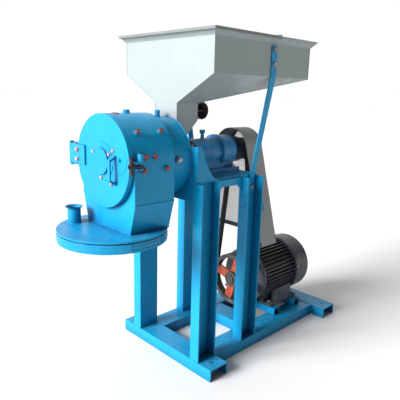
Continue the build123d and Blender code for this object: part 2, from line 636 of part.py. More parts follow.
def discharge_ring():
    """The rolled band that hangs below the hood, with a set-back neck."""
    neck_r = HOOD_R - 7
    top = CASING_BOTTOM - HOOD_T
    shape = rod_z(neck_r, HOOD_LOW, top, 0, HOOD_Y) + rod_z(HOOD_R - 1, HOOD_LOW, top - 4, 0, HOOD_Y)
    return shape - rod_z(neck_r - 3, HOOD_LOW - 1, top + 1, 0, HOOD_Y)


def vent_pipe():
    """The short pipe on the hood with its flared lip."""
    shape = rod_z(VENT_R, CASING_BOTTOM, VENT_TOP, VENT_X, VENT_Y)
    flare = Pos(VENT_X, VENT_Y, VENT_TOP - 4.5) * Cone(VENT_R, VENT_R + 8, 9)
    bore = Pos(VENT_X, VENT_Y, VENT_TOP - 4.4) * Cone(VENT_R - 3, VENT_R + 5, 9)
    return shape + flare - rod_z(VENT_R - 3, CASING_BOTTOM - 1, VENT_TOP + 1, VENT_X, VENT_Y) - bore


def side_tab():
    """The small stiffening tab at the casing's lower left."""
    slope = (BARREL_R - BOTTOM_HALF) / (SIDE_LOW - CASING_BOTTOM)
    x_high = -BOTTOM_HALF - 40 * slope
    outline = [
        (-BOTTOM_HALF, CASING_BOTTOM), (x_high, CASING_BOTTOM + 40), (x_high - 4, CASING_BOTTOM + 40),
        (-BOTTOM_HALF - 34, CASING_BOTTOM + 6), (-BOTTOM_HALF - 34, CASING_BOTTOM),
    ]
    return plate_y(outline, -212, -206)


# ---- Hopper, chute and air inlet --------------------------------------------------------
def hopper_form(inset, extra):
    """The hopper's outline, taken in by a wall and run past both ends by extra."""
    body = (-HOPPER_HALF + inset, HOPPER_HALF - inset, inset, HOPPER_REAR - inset)
    throat = (-THROAT_HALF + inset, THROAT_HALF - inset, inset, THROAT_REAR - inset)
    rim = (
        -HOPPER_HALF - RIM_OUT + inset, HOPPER_HALF + RIM_OUT - inset,
        -RIM_OUT + inset, HOPPER_REAR + RIM_OUT - inset,
    )
    shape = frustum(throat, THROAT_Z, body, TAPER_Z) + block(*body, TAPER_Z, LIP_Z)
    shape += frustum(body, LIP_Z, rim, RIM_Z)
    if extra:
        shape += block(*throat, THROAT_Z - extra, THROAT_Z) + block(*rim, RIM_Z, RIM_Z + extra)
    return shape


def hopper_bin():
    """The sheet hopper with its outward-folded lip."""
    shape = hopper_form(0, 0) - hopper_form(SHEET, 2)
    for place in HOPPER_BOLT_PLACES:
        x, y, z = place
        shape -= rod_x(5.2, -HOPPER_HALF - 1, HOPPER_HALF + 1, y, z)
    return shape


def hopper_cover():
    """The folded half cover over the front of the hopper."""
    out, rear = RIM_OUT + 3, 0.6 * HOPPER_REAR
    top = block(-HOPPER_HALF - out, HOPPER_HALF + out, -out, rear, RIM_Z, RIM_Z + 2.5)
    shape = top + block(-HOPPER_HALF - out, HOPPER_HALF + out, rear - 2.5, rear, RIM_Z, RIM_Z + 9)
    for x0, x1 in ((-HOPPER_HALF - out, -HOPPER_HALF - out + 2), (HOPPER_HALF + out - 2, HOPPER_HALF + out)):
        shape += block(x0, x1, -out, rear, RIM_Z - 7, RIM_Z + 1)
    return shape + block(-HOPPER_HALF - out, HOPPER_HALF + out, -out, -out + 2, RIM_Z - 7, RIM_Z + 1)


def chute_form(inset, top):
    """The chute's side view, taken in by a wall."""
    y0, y1 = inset, THROAT_REAR - inset
    low = CHUTE_LOW + 1.6 * inset
    side = [(y0, low), (y0 + 6 - inset, low), (y1, CHUTE_BEND_Z + 0.5 * inset), (y1, top), (y0, top)]
    return plate_x(side, -THROAT_HALF + inset, THROAT_HALF - inset)


def feed_chute():
    """The chute from the hopper's throat down to the feed window."""
    shape = chute_form(0, THROAT_Z) - chute_form(SHEET, THROAT_Z + 1)
    shape -= block(-WINDOW_HALF, WINDOW_HALF, -1, SHEET + 1, WINDOW_LOW, WINDOW_TOP)
    return shape - block(-42, -22, THROAT_REAR - 5, THROAT_REAR + 1, AIR_Z - 15, AIR_Z + 15)


def air_inlet():
    """The cross pipe behind the chute, closed at its left end, with a neck into the chute."""
    shape = rod_x(AIR_R, -AIR_HALF, AIR_HALF, AIR_Y, AIR_Z)
    shape += block(-44, -20, THROAT_REAR, AIR_Y, AIR_Z - 17, AIR_Z + 17)
    shape -= rod_x(AIR_R - 2, -AIR_HALF + 2, AIR_HALF + 1, AIR_Y, AIR_Z)
    shape -= block(-42, -22, THROAT_REAR - 1, AIR_Y, AIR_Z - 15, AIR_Z + 15)
    return shape - rod_y(3.05, THROAT_REAR + 2, AIR_Y + AIR_R + 2, DAMPER_X, AIR_Z)


def damper_blade():
    """The butterfly disc on its spindle, with a lever at the rear."""
    shape = rod_z(AIR_R - 2.6, AIR_Z - 1, AIR_Z + 1, DAMPER_X, AIR_Y)
    shape += rod_y(3, AIR_Y - AIR_R - 1, AIR_Y + AIR_R + 14, DAMPER_X, AIR_Z)
    shape &= block(-60, 80, AIR_Y - AIR_R - 2, AIR_Y + AIR_R + 14, AIR_Z - 3, AIR_Z + 3)
    lever_y = AIR_Y + AIR_R + 4
    shape += block(DAMPER_X - 40, DAMPER_X + 4, lever_y, lever_y + 4, AIR_Z - 4, AIR_Z + 4)
    return shape + rod_y(6, lever_y, lever_y + 16, DAMPER_X - 38, AIR_Z)


def hopper_strap():
    """The bent flat bar from the hopper's right side down into the rear post."""
    top_x, low_x = HOPPER_HALF, POST_IN + STEEL
    line = [(top_x, 1266), (top_x, TAPER_Z), (low_x, STRAP_BEND_Z), (low_x, STRAP_END_Z)]
    outline = line + [(x + STRAP_T, z) for x, z in reversed(line)]
    shape = plate_y(outline, STRAP_Y, STRAP_Y + STRAP_W)
    shape = with_holes(shape, HOPPER_BOLT_PLACES, (1, 0, 0))
    return shape - drill(STRAP_FOOT_PLACE, (1, 0, 0))


def strap_bolts():
    """The bolts at both ends of the hopper straps."""
    right = [bolt(p, (1, 0, 0), 15, 6, 4.8, 9) for p in HOPPER_BOLT_PLACES + [STRAP_FOOT_PLACE]]
    return [side for one in right for side in both_sides(one)]


# ---- Belt drive and guard ---------------------------------------------------------------
def belt_loop(top_r, low_r, y0, y1):
    """The solid disc-ended outline round both pulleys."""
    lean = (low_r - top_r) / (SHAFT_Z - MOTOR_Z)
    across = sqrt(1 - lean * lean)
    top_x, top_z = top_r * across, SHAFT_Z + top_r * lean
    low_x, low_z = low_r * across, MOTOR_Z + low_r * lean
    edges = [
        ThreePointArc((-top_x, y0, top_z), (0, y0, SHAFT_Z + top_r), (top_x, y0, top_z)),
        Line((top_x, y0, top_z), (low_x, y0, low_z)),
        ThreePointArc((low_x, y0, low_z), (0, y0, MOTOR_Z - low_r), (-low_x, y0, low_z)),
        Line((-low_x, y0, low_z), (-top_x, y0, top_z)),
    ]
    return extrude(make_face(edges), amount=y1 - y0, dir=(0, 1, 0))


def belt_starts():
    """The front edges of the two belts."""
    middle = PULLEY_Y + PULLEY_W / 2
    return [middle - BELT_PITCH / 2 - BELT_W / 2, middle + BELT_PITCH / 2 - BELT_W / 2]


def v_belts():
    """The two drive belts."""
    belts = []
    for y0 in belt_starts():
        loop = belt_loop(MILL_PULLEY_R - 0.5, MOTOR_PULLEY_R - 0.5, y0, y0 + BELT_W)
        inner = BELT_T + 0.5
        loop -= belt_loop(MILL_PULLEY_R - inner, MOTOR_PULLEY_R - inner, y0 - 1, y0 + BELT_W + 1)
        belts.append(loop)
    return belts


def grooved(shape, radius, z):
    """A pulley blank with the belt grooves turned into it."""
    for y0 in belt_starts():
        floor = radius - BELT_T - 1.2
        shape -= ring_y(radius + 1, floor, y0 - GROOVE_PLAY, y0 + BELT_W + GROOVE_PLAY, 0, z)
    return shape


def mill_pulley():
    """The small driven pulley."""
    shape = rod_y(MILL_PULLEY_R, PULLEY_Y, PULLEY_Y + PULLEY_W)
    shape += rod_y(34, PULLEY_Y - 6, PULLEY_Y + 2)
    return grooved(shape - rod_y(19.05, PULLEY_Y - 7, PULLEY_Y + PULLEY_W + 1), MILL_PULLEY_R, SHAFT_Z)


def motor_pulley():
    """The large driving pulley: a rim on four tapered spokes."""
    y0, y1 = PULLEY_Y, PULLEY_Y + PULLEY_W
    shape = ring_y(MOTOR_PULLEY_R, MOTOR_PULLEY_R - 18, y0, y1, 0, MOTOR_Z)
    shape += rod_y(36, y0 - 4, y1 + 4, 0, MOTOR_Z)
    for i in range(4):
        spoke = plate_y([(-22, 24), (22, 24), (20, 110), (-20, 110)], y0 + 10, y1 - 10)
        shape += Pos(0, 0, MOTOR_Z) * Rot(0, SPOKE_TURN + 90 * i, 0) * spoke
    shape -= rod_y(19.05, y0 - 5, y1 + 5, 0, MOTOR_Z)
    return grooved(shape, MOTOR_PULLEY_R, MOTOR_Z)


def guard_side(radius, foot_x, foot_z):
    """Where the guard's straight side leaves its round top, as (x, z)."""
    drop = foot_z - SHAFT_Z
    reach = hypot(foot_x, drop)
    angle = atan2(drop, foot_x) + acos(radius / reach)
    return radius * cos(angle), SHAFT_Z + radius * sin(angle)


def guard_form(inset, foot_z, y0, y1):
    """The guard's outline: a round top and flared straight sides."""
    radius = GUARD_R - inset
    foot_x = GUARD_FOOT_X - inset + (GUARD_FOOT_Z - foot_z) * 0.27
    x, z = guard_side(radius, foot_x, foot_z)
    edges = [
        ThreePointArc((-x, y0, z), (0, y0, SHAFT_Z + radius), (x, y0, z)),
        Line((x, y0, z), (foot_x, y0, foot_z)),
        Line((foot_x, y0, foot_z), (-foot_x, y0, foot_z)),
        Line((-foot_x, y0, foot_z), (-x, y0, z)),
    ]
    return extrude(make_face(edges), amount=y1 - y0, dir=(0, 1, 0))


def guard_band():
    """The rolled sheet that wraps over both belt runs."""
    shape = guard_form(0, GUARD_FOOT_Z, GUARD_Y0, GUARD_Y1)
    return shape - guard_form(GUARD_SHEET, GUARD_FOOT_Z - 1, GUARD_Y0 - 1, GUARD_Y1 + 1)


def guard_mesh():
    """The rear panel of the guard."""
    shape = guard_form(0, GUARD_FOOT_Z, GUARD_Y1, GUARD_Y1 + GUARD_SHEET)
    low = block(-300, 300, GUARD_Y1 - 1, GUARD_Y1 + 5, GUARD_FOOT_Z - 5, MESH_LOW)
    return shape - low


def guard_stiffener():
    """The dark flat strip along the panel's lower edge."""
    strip = block(-300, 300, GUARD_Y1, GUARD_Y1 + 4, MESH_LOW - 20, MESH_LOW)
    return strip & guard_form(0, GUARD_FOOT_Z, GUARD_Y1 - 5, GUARD_Y1 + 5)


def guard_bracket():
    """The right bracket from the rear post to the guard's side."""
    _, side_z = guard_side(GUARD_R, GUARD_FOOT_X, GUARD_FOOT_Z)
    side_x, _ = guard_side(GUARD_R, GUARD_FOOT_X, GUARD_FOOT_Z)
    lean = (GUARD_FOOT_X - side_x) / (side_z - GUARD_FOOT_Z)
    low, high = 600.0, 640.0
    post_back = REAR_POST_Y + CHANNEL_W
    at = [GUARD_FOOT_X - (z - GUARD_FOOT_Z) * lean for z in (low, high)]
    leg = plate_y([(at[0], low), (at[0] + 4, low), (at[1] + 4, high), (at[1], high)], post_back, 420)
    return leg + block(at[1] + 1, POST_OUT - 6, post_back, post_back + 4, low, high)


# ---- Motor ------------------------------------------------------------------------------
def slide_rail(y0):
    """A channel across the base that carries one pair of motor feet."""
    top = BASE_TOP + RAIL_H
    shape = block(-RAIL_HALF, RAIL_HALF, y0, y0 + RAIL_W, BASE_TOP, top)
    shape -= block(-RAIL_HALF - 1, RAIL_HALF + 1, y0 + STEEL, y0 + RAIL_W - STEEL, BASE_TOP - 1, top - STEEL)
    for side in (-1, 1):
        x0, x1 = sorted((side * (MOTOR_BOLT_X - 24), side * (MOTOR_BOLT_X + 24)))
        shape -= block(x0, x1, y0 + RAIL_W / 2 - 5.5, y0 + RAIL_W / 2 + 5.5, top - STEEL - 1, top + 1)
    return shape


def tension_screws():
    """The belt-tension screws at the left ends of the slide rails."""
    shapes = []
    for y0 in RAIL_YS:
        y, z = y0 + RAIL_W / 2, BASE_TOP + RAIL_H + 10
        lug = block(RAIL_HALF - 8, RAIL_HALF, y0 + 6, y0 + RAIL_W - 6, BASE_TOP + RAIL_H, z + 12)
        screw = lug + rod_x(5, 136, RAIL_HALF + 18, y, z)
        head = Plane(origin=(RAIL_HALF + 18, y, z), z_dir=(1, 0, 0)).location
        screw += head * extrude(RegularPolygon(8, 6, major_radius=False), 7)
        shapes.append(mirror(screw, about=Plane.YZ))
    return shapes


def motor_frame():
    """The finned motor frame with its cast feet and the pad for the terminal box."""
    y0, y1 = FRAME_Y0, FRAME_Y1
    shape = rod_y(MOTOR_CORE_R, y0, y1, 0, MOTOR_Z)
    for i in range(FINS):
        fin = block(-FIN_T / 2, FIN_T / 2, y0 + 6, y1, MOTOR_CORE_R - 4, FIN_R)
        shape += Pos(0, 0, MOTOR_Z) * Rot(0, 360 * (i + 0.5) / FINS, 0) * fin
    foot_z = BASE_TOP + RAIL_H
    for side in (-1, 1):
        x0, x1 = sorted((side * FOOT_IN, side * FOOT_OUT))
        for rail_y in RAIL_YS:
            shape += block(x0, x1, rail_y, rail_y + RAIL_W, foot_z, foot_z + FOOT_T)
        x0, x1 = sorted((side * RIB_IN, side * RIB_OUT))
        shape += block(x0, x1, RAIL_YS[0], y1, foot_z, MOTOR_Z - 60)
        x0, x1 = sorted((side * WEB_IN, side * WEB_OUT))
        web_y0, web_y1 = RAIL_YS[0] + RAIL_W - 3, RAIL_YS[1] + 3
        shape += block(x0, x1, web_y0, web_y1, foot_z, WEB_TOP)
        shape -= rod_x(WEB_HOLE_R, x0 - 1, x1 + 1, WEB_HOLE_Y, WEB_HOLE_Z)
    shape -= block(BOX_X0, BOX_X1, BOX_Y0 - 4, BOX_Y1 + 4, BOX_Z0 - 4, BOX_Z1 + 4)
    shape += block(BOX_X1, -90, BOX_Y0, BOX_Y1, BOX_Z0, BOX_Z1)
    shape -= rod_y(MOTOR_BORE_R, y0 - 1, y1 + 1, 0, MOTOR_Z)
    return with_holes(shape, MOTOR_FOOT_PLACES, UP, depth=18)


def motor_front_bell():
    """The front end shield with its bearing boss."""
    shape = rod_y(FIN_R - 3, MOTOR_Y0 + 6, FRAME_Y0, 0, MOTOR_Z)
    shape += rod_y(62, MOTOR_Y0, MOTOR_Y0 + 8, 0, MOTOR_Z)
    return shape - rod_y(20, MOTOR_Y0 - 1, FRAME_Y0 + 1, 0, MOTOR_Z)


def motor_fan_cover():
    """The pressed cowl over the fan, with rings of air holes."""
    y0, y1 = FRAME_Y1, MOTOR_Y1
    shape = rod_y(COWL_R, y0, y1, 0, MOTOR_Z)
    shape = fillet(shape.edges().filter_by(GeomType.CIRCLE).sort_by(Axis.Y)[-1], 10)
    shape -= rod_y(COWL_R - SHEET, y0 - 1, y1 - SHEET - 8, 0, MOTOR_Z)
    shape -= rod_y(COWL_R - 12, y1 - SHEET - 9, y1 - SHEET, 0, MOTOR_Z)
    for radius, count in ((48, 12), (74, 18), (100, 24)):
        for x, _, z in round_places(radius, [360 * i / count for i in range(count)], 0, MOTOR_Z):
            shape -= rod_y(6.5, y1 - SHEET - 1, y1 + 1, x, z)
    return shape


def motor_stator():
    """The stator pack inside the frame."""
    return ring_y(MOTOR_BORE_R - 0.2, 72, FRAME_Y0 + 50, FRAME_Y1 - 50, 0, MOTOR_Z)


def motor_terminal_box():
    """The cable box on the motor's left side, with its gland."""
    shape = block(BOX_X0 + 8, BOX_X1, BOX_Y0, BOX_Y1, BOX_Z0, BOX_Z1)
    shape += block(BOX_X0, BOX_X0 + 8, BOX_Y0 - 3, BOX_Y1 + 3, BOX_Z0 - 3, BOX_Z1 + 3)
    return shape + rod_z(12, BOX_Z0 - 18, BOX_Z0, (BOX_X0 + BOX_X1) / 2, (BOX_Y0 + BOX_Y1) / 2)


def motor_bolts():
    """The bolts that hold the motor's feet on the slide rails."""
    return [bolt(p, UP, 16, 8, 4.8, 20) for p in MOTOR_FOOT_PLACES]


def motor_shaft():
    """The motor's shaft with its rotor pack."""
    shape = rod_y(19, PULLEY_Y - 10, FRAME_Y1 + 30, 0, MOTOR_Z)
    return shape + rod_y(71, FRAME_Y0 + 50, FRAME_Y1 - 50, 0, MOTOR_Z)


def motor_fan():
    """The cooling fan at the rear end of the motor's shaft."""
    y0, y1 = FRAME_Y1 + 6, FRAME_Y1 + 46
    shape = rod_y(34, y0, y1, 0, MOTOR_Z) + rod_y(112, y0, y0 + 4, 0, MOTOR_Z)
    for i in range(7):
        blade = block(-1.5, 1.5, y0, y1, 30, 112)
        shape += Pos(0, 0, MOTOR_Z) * Rot(0, 360 * i / 7, 0) * blade
    return shape - rod_y(19.05, y0 - 1, FRAME_Y1 + 31, 0, MOTOR_Z)


# ---- Writing the parts ------------------------------------------------------------------
def save(name, shape):
    """Write one node, moved so that the origin is under the middle of the machine."""
    solids = []
    for one in shape if isinstance(shape, list) else [shape]:
        solids += list(one.solids())
    whole = Compound(solids) if len(solids) > 1 else solids[0]
    export_step(Pos(0, -MIDDLE_OF_LENGTH, 0) * whole, f"parts/{name}.step")


PARTS = {
    "base_cross_channels": [foot_channel(0), foot_channel(BASE_LENGTH - CHANNEL_W)],
    "base_middle_channel": cross_channel(MIDDLE_Y, RAIL_IN),
    "base_side_rails": both_sides(side_rail()),
    "front_posts": both_sides(post(0)),
    "rear_posts": both_sides(post(REAR_POST_Y)),
    "top_beams": both_sides(top_beam()),
    "side_gussets": both_sides(gusset()),
    "mill_mounting_plate": mounting_plate(),
    "bearing_seat_plate": seat_plate(),
    "bearing_housing": bearing_housing(),
    "shaft_bearings": shaft_bearings(),
    "bearing_covers": bearing_covers(),
    "grease_cup": grease_cup(),
    "frame_bolts": housing_bolts() + plate_bolts() + motor_bolts() + strap_bolts(),
    "casing_shell": casing_shell() + side_tab(),
    "feed_ring": feed_ring(),
    "toothed_liner": toothed_liner(),
    "screen": screen(),
    "liner_bolts": liner_bolts(),
    "top_stubs": top_stubs(),
    "hinge_bracket": hinge_bracket(),
    "hinge_pins": hinge_pins(),
    "clamp_bracket": clamp_bracket(),
    "discharge_hood": discharge_hood(),
    "discharge_ring": discharge_ring(),
    "vent_pipe": vent_pipe(),
    "hopper_bin": hopper_bin(),
    "hopper_cover": hopper_cover(),
    "feed_chute": feed_chute(),
    "air_inlet": air_inlet(),
    "hopper_straps": both_sides(hopper_strap()),
    "guard_band": guard_band(),
    "guard_mesh": guard_mesh(),
    "guard_stiffener": guard_stiffener(),
    "guard_brackets": both_sides(guard_bracket()),
    "slide_rails": [slide_rail(y) for y in RAIL_YS],
    "tension_screws": tension_screws(),
    "motor_frame": motor_frame(),
    "motor_front_bell": motor_front_bell(),
    "motor_fan_cover": motor_fan_cover(),
    "motor_stator": motor_stator(),
    "motor_terminal_box": motor_terminal_box(),
    "v_belts": v_belts(),
    "door_plate": door_plate(),
    "door_liner": door_liner(),
    "door_cap": door_cap(),
    "door_handle": door_handle(),
    "hinge_strap": hinge_strap(),
    "door_bolts": door_bolts(),
    "swing_bolt": swing_bolt(),
    "hand_nut": hand_nut(),
    "damper_blade": damper_blade(),
    "mill_shaft": mill_shaft(),
    "rotor_plates": rotor_plates(),
    "rotor_fasteners": hammer_pins() + [rotor_nut()],
    "hammers": hammers(),
    "mill_pulley": mill_pulley(),
    "motor_shaft": motor_shaft(),
    "motor_pulley": motor_pulley(),
    "motor_fan": motor_fan(),
}
for node, made in PARTS.items():
    save(node, made)
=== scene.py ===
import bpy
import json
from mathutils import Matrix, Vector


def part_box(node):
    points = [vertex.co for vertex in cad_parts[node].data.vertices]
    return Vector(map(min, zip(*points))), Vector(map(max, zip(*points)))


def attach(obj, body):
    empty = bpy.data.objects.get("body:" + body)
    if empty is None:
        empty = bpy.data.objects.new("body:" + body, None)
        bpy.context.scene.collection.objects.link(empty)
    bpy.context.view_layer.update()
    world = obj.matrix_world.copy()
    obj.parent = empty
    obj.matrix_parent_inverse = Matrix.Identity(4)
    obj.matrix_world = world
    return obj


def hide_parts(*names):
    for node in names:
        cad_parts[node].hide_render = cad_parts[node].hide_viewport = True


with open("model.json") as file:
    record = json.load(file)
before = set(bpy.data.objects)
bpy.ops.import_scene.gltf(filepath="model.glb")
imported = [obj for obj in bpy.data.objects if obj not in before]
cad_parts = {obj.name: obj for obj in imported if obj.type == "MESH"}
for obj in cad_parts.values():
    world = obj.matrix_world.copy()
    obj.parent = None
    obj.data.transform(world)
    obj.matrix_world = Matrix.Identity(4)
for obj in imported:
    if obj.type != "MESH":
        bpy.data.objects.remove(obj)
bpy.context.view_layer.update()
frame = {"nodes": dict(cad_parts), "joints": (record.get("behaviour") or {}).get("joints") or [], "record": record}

import json
import math
import random

import bmesh
import bpy
from mathutils import Matrix, Vector

random.seed(7)
MM = 0.001
JOINTS = {joint["name"]: joint for joint in frame["joints"]}
MILL_AXIS = Vector(JOINTS["mill_spin"]["pos_m"])
MOTOR_AXIS = Vector(JOINTS["motor_spin"]["pos_m"])
SCENE = bpy.context.scene


# ---- Camera, light and floor ---------------------------------------------------------------------
CAMERA_AT = Vector((1.3776, -1.3784, 1.0848))
CAMERA_YAW, CAMERA_PITCH, CAMERA_ROLL = 45.72, -12.88, 1.51
CAMERA_LENS = 41.83
CAMERA_SENSOR = 36.0
WHITE = (1.0, 1.0, 1.0, 1.0)
SUN_TOWARDS, SUN_ENERGY, SUN_SPREAD = (-0.20, -0.89, 0.40), 8.3, 30
DIM_FROM_X, DIM_TO_X, DIM_STRENGTH = -0.3, 0.5, 0.03         # the sky fades between these directions
BAND_FULL_Z, BAND_GONE_Z = 0.17, 0.27                        # and stays pale below this height
FLOOR_REACH, FLOOR_GREY, FLOOR_ROUGH = 60.0, 0.66, 0.9


def make_camera():
    """The camera that looks at the door side and the right side of the machine."""
    camera = bpy.data.objects.new("camera", bpy.data.cameras.new("camera"))
    SCENE.collection.objects.link(camera)
    camera.data.lens = CAMERA_LENS
    camera.data.sensor_width = CAMERA_SENSOR
    turn = Matrix.Rotation(math.radians(CAMERA_YAW), 4, "Z")
    tilt = Matrix.Rotation(math.radians(90 + CAMERA_PITCH), 4, "X")
    roll = Matrix.Rotation(math.radians(CAMERA_ROLL), 4, "Z")
    camera.matrix_world = Matrix.Translation(CAMERA_AT) @ turn @ tilt @ roll
    SCENE.camera = camera


def make_sun():
    """One soft sun that shines from the front, the left and above."""
    sun = bpy.data.objects.new("key", bpy.data.lights.new("key", "SUN"))
    sun.data.energy = SUN_ENERGY
    sun.data.angle = math.radians(SUN_SPREAD)
    sun.rotation_euler = Vector(SUN_TOWARDS).to_track_quat("Z", "Y").to_euler()
    SCENE.collection.objects.link(sun)


def smooth_range(tree, source, low, high, out_low, out_high):
    """A smooth step of a socket's value from one range to another."""
    node = tree.nodes.new("ShaderNodeMapRange")
    node.interpolation_type = "SMOOTHSTEP"
    tree.links.new(source, node.inputs["Value"])
    for socket, value in zip(("From Min", "From Max", "To Min", "To Max"), (low, high, out_low, out_high)):
        node.inputs[socket].default_value = value
    return node.outputs["Result"]


def make_world():
    """A pale studio whose upper right is dim, so that the right faces fall into shade."""
    world = bpy.data.worlds.new("studio")
    world.use_nodes = True
    tree = world.node_tree
    background = tree.nodes["Background"]
    coords = tree.nodes.new("ShaderNodeTexCoord")
    split = tree.nodes.new("ShaderNodeSeparateXYZ")
    tree.links.new(coords.outputs["Generated"], split.inputs[0])
    shade = smooth_range(tree, split.outputs["X"], DIM_FROM_X, DIM_TO_X, 1.0, DIM_STRENGTH)
    horizon = smooth_range(tree, split.outputs["Z"], BAND_FULL_Z, BAND_GONE_Z, 1.0, 0.0)
    strength = tree.nodes.new("ShaderNodeMath")
    strength.operation = "MAXIMUM"
    tree.links.new(shade, strength.inputs[0])
    tree.links.new(horizon, strength.inputs[1])
    tree.links.new(strength.outputs["Value"], background.inputs["Strength"])
    background.inputs["Color"].default_value = WHITE
    SCENE.world = world


def make_floor():
    """A plain pale floor."""
    mesh = bpy.data.meshes.new("floor")
    corners = [(x * FLOOR_REACH, y * FLOOR_REACH, 0) for x, y in ((-1, -1), (1, -1), (1, 1), (-1, 1))]
    mesh.from_pydata(corners, [], [(0, 1, 2, 3)])
    floor = bpy.data.objects.new("floor", mesh)
    SCENE.collection.objects.link(floor)
    material = bpy.data.materials.new("floor")
    material.use_nodes = True
    shader = material.node_tree.nodes["Principled BSDF"]
    shader.inputs["Base Color"].default_value = (FLOOR_GREY, FLOOR_GREY, FLOOR_GREY, 1)
    shader.inputs["Roughness"].default_value = FLOOR_ROUGH
    mesh.materials.append(material)


# ---- Materials -----------------------------------------------------------------------------------
ENAMEL_SHINE = 0.22                # reflection of brushed paint, as the Specular IOR Level
COAT_ROUGH = 0.12
RIM_DEPTH = 22 * MM                # bare part of the motor pulley, inwards from its outside
HUB_BARE_R = 37 * MM
FADE = 0.5 * MM                    # half the width of the step from paint to bare metal


def rgb(red, green, blue):
    return (red, green, blue, 1.0)


DUST, MEAL, RUST = rgb(0.62, 0.60, 0.55), rgb(0.5, 0.42, 0.28), rgb(0.12, 0.05, 0.025)


class Graph:
    """One node material, with short names for the nodes that the finishes below use."""

    def __init__(self, name):
        self.material = bpy.data.materials.new(name)
        self.material.use_nodes = True
        self.tree = self.material.node_tree
        self.shader = self.tree.nodes["Principled BSDF"]
        self.where = self.add("ShaderNodeTexCoord").outputs["Object"]

    def add(self, kind, **settings):
        node = self.tree.nodes.new(kind)
        for key, value in settings.items():
            setattr(node, key, value)
        return node

    def put(self, socket, value):
        if isinstance(value, bpy.types.NodeSocket):
            self.tree.links.new(value, socket)
        else:
            socket.default_value = value

    def stretched(self, scale):
        mapping = self.add("ShaderNodeMapping")
        self.put(mapping.inputs["Vector"], self.where)
        mapping.inputs["Scale"].default_value = scale
        return mapping.outputs["Vector"]

    def noise(self, scale, detail=3.0, stretch=None):
        node = self.add("ShaderNodeTexNoise")
        self.put(node.inputs["Vector"], self.stretched(stretch) if stretch else self.where)
        node.inputs["Scale"].default_value = scale
        node.inputs["Detail"].default_value = detail
        return node.outputs["Fac"]

    def cells(self, scale):
        node = self.add("ShaderNodeTexVoronoi")
        self.put(node.inputs["Vector"], self.where)
        node.inputs["Scale"].default_value = scale
        return node.outputs["Distance"]

    def spread(self, value, low, high, out_low=0.0, out_high=1.0):
        node = self.add("ShaderNodeMapRange", interpolation_type="SMOOTHSTEP")
        self.put(node.inputs["Value"], value)
        node.inputs["From Min"].default_value = low
        node.inputs["From Max"].default_value = high
        node.inputs["To Min"].default_value = out_low
        node.inputs["To Max"].default_value = out_high
        return node.outputs["Result"]

    def math(self, operation, a, b=0.0):
        node = self.add("ShaderNodeMath", operation=operation)
        self.put(node.inputs[0], a)
        self.put(node.inputs[1], b)
        return node.outputs[0]

    def mix(self, factor, a, b):
        node = self.add("ShaderNodeMix", data_type="RGBA")
        self.put(node.inputs[0], factor)
        self.put(node.inputs[6], a)
        self.put(node.inputs[7], b)
        return node.outputs[2]

    def edges(self, radius):
        """1 on sharp edges and 0 on flats, with the rounded normal beside it."""
        bevel = self.add("ShaderNodeBevel", samples=4)
        bevel.inputs["Radius"].default_value = radius
        facing = self.add("ShaderNodeNewGeometry").outputs["Normal"]
        dot = self.add("ShaderNodeVectorMath", operation="DOT_PRODUCT")
        self.put(dot.inputs[0], bevel.outputs["Normal"])
        self.put(dot.inputs[1], facing)
        return self.spread(dot.outputs["Value"], 0.995, 0.93), bevel.outputs["Normal"]

    def corners(self, distance):
        """1 in tight corners and 0 in the open."""
        node = self.add("ShaderNodeAmbientOcclusion", samples=4)
        node.inputs["Distance"].default_value = distance
        return self.spread(node.outputs["AO"], 0.75, 0.25)

    def upward(self):
        """1 on faces that look up."""
        split = self.add("ShaderNodeSeparateXYZ")
        self.put(split.inputs[0], self.add("ShaderNodeNewGeometry").outputs["Normal"])
        return self.spread(split.outputs["Z"], 0.55, 0.95)

    def from_axis(self, axis):
        """Distance from an axis along Y."""
        split = self.add("ShaderNodeSeparateXYZ")
        self.put(split.inputs[0], self.where)
        across = self.math("SUBTRACT", split.outputs["X"], axis.x)
        height = self.math("SUBTRACT", split.outputs["Z"], axis.z)
        total = self.math("ADD", self.math("MULTIPLY", across, across), self.math("MULTIPLY", height, height))
        return self.math("SQRT", total)

    def bump(self, height, strength, distance, normal=None):
        node = self.add("ShaderNodeBump")
        node.inputs["Strength"].default_value = strength
        node.inputs["Distance"].default_value = distance
        self.put(node.inputs["Height"], height)
        if normal is not None:
            self.put(node.inputs["Normal"], normal)
        return node.outputs["Normal"]

    def finish(self, color, roughness, normal, metallic=0.0, coat=0.0, shine=0.5):
        self.put(self.shader.inputs["Base Color"], color)
        self.put(self.shader.inputs["Roughness"], roughness)
        self.put(self.shader.inputs["Normal"], normal)
        self.shader.inputs["Metallic"].default_value = metallic
        self.shader.inputs["Specular IOR Level"].default_value = shine
        if coat:
            self.shader.inputs["Coat Weight"].default_value = coat
            self.shader.inputs["Coat Roughness"].default_value = COAT_ROUGH
        return self.material


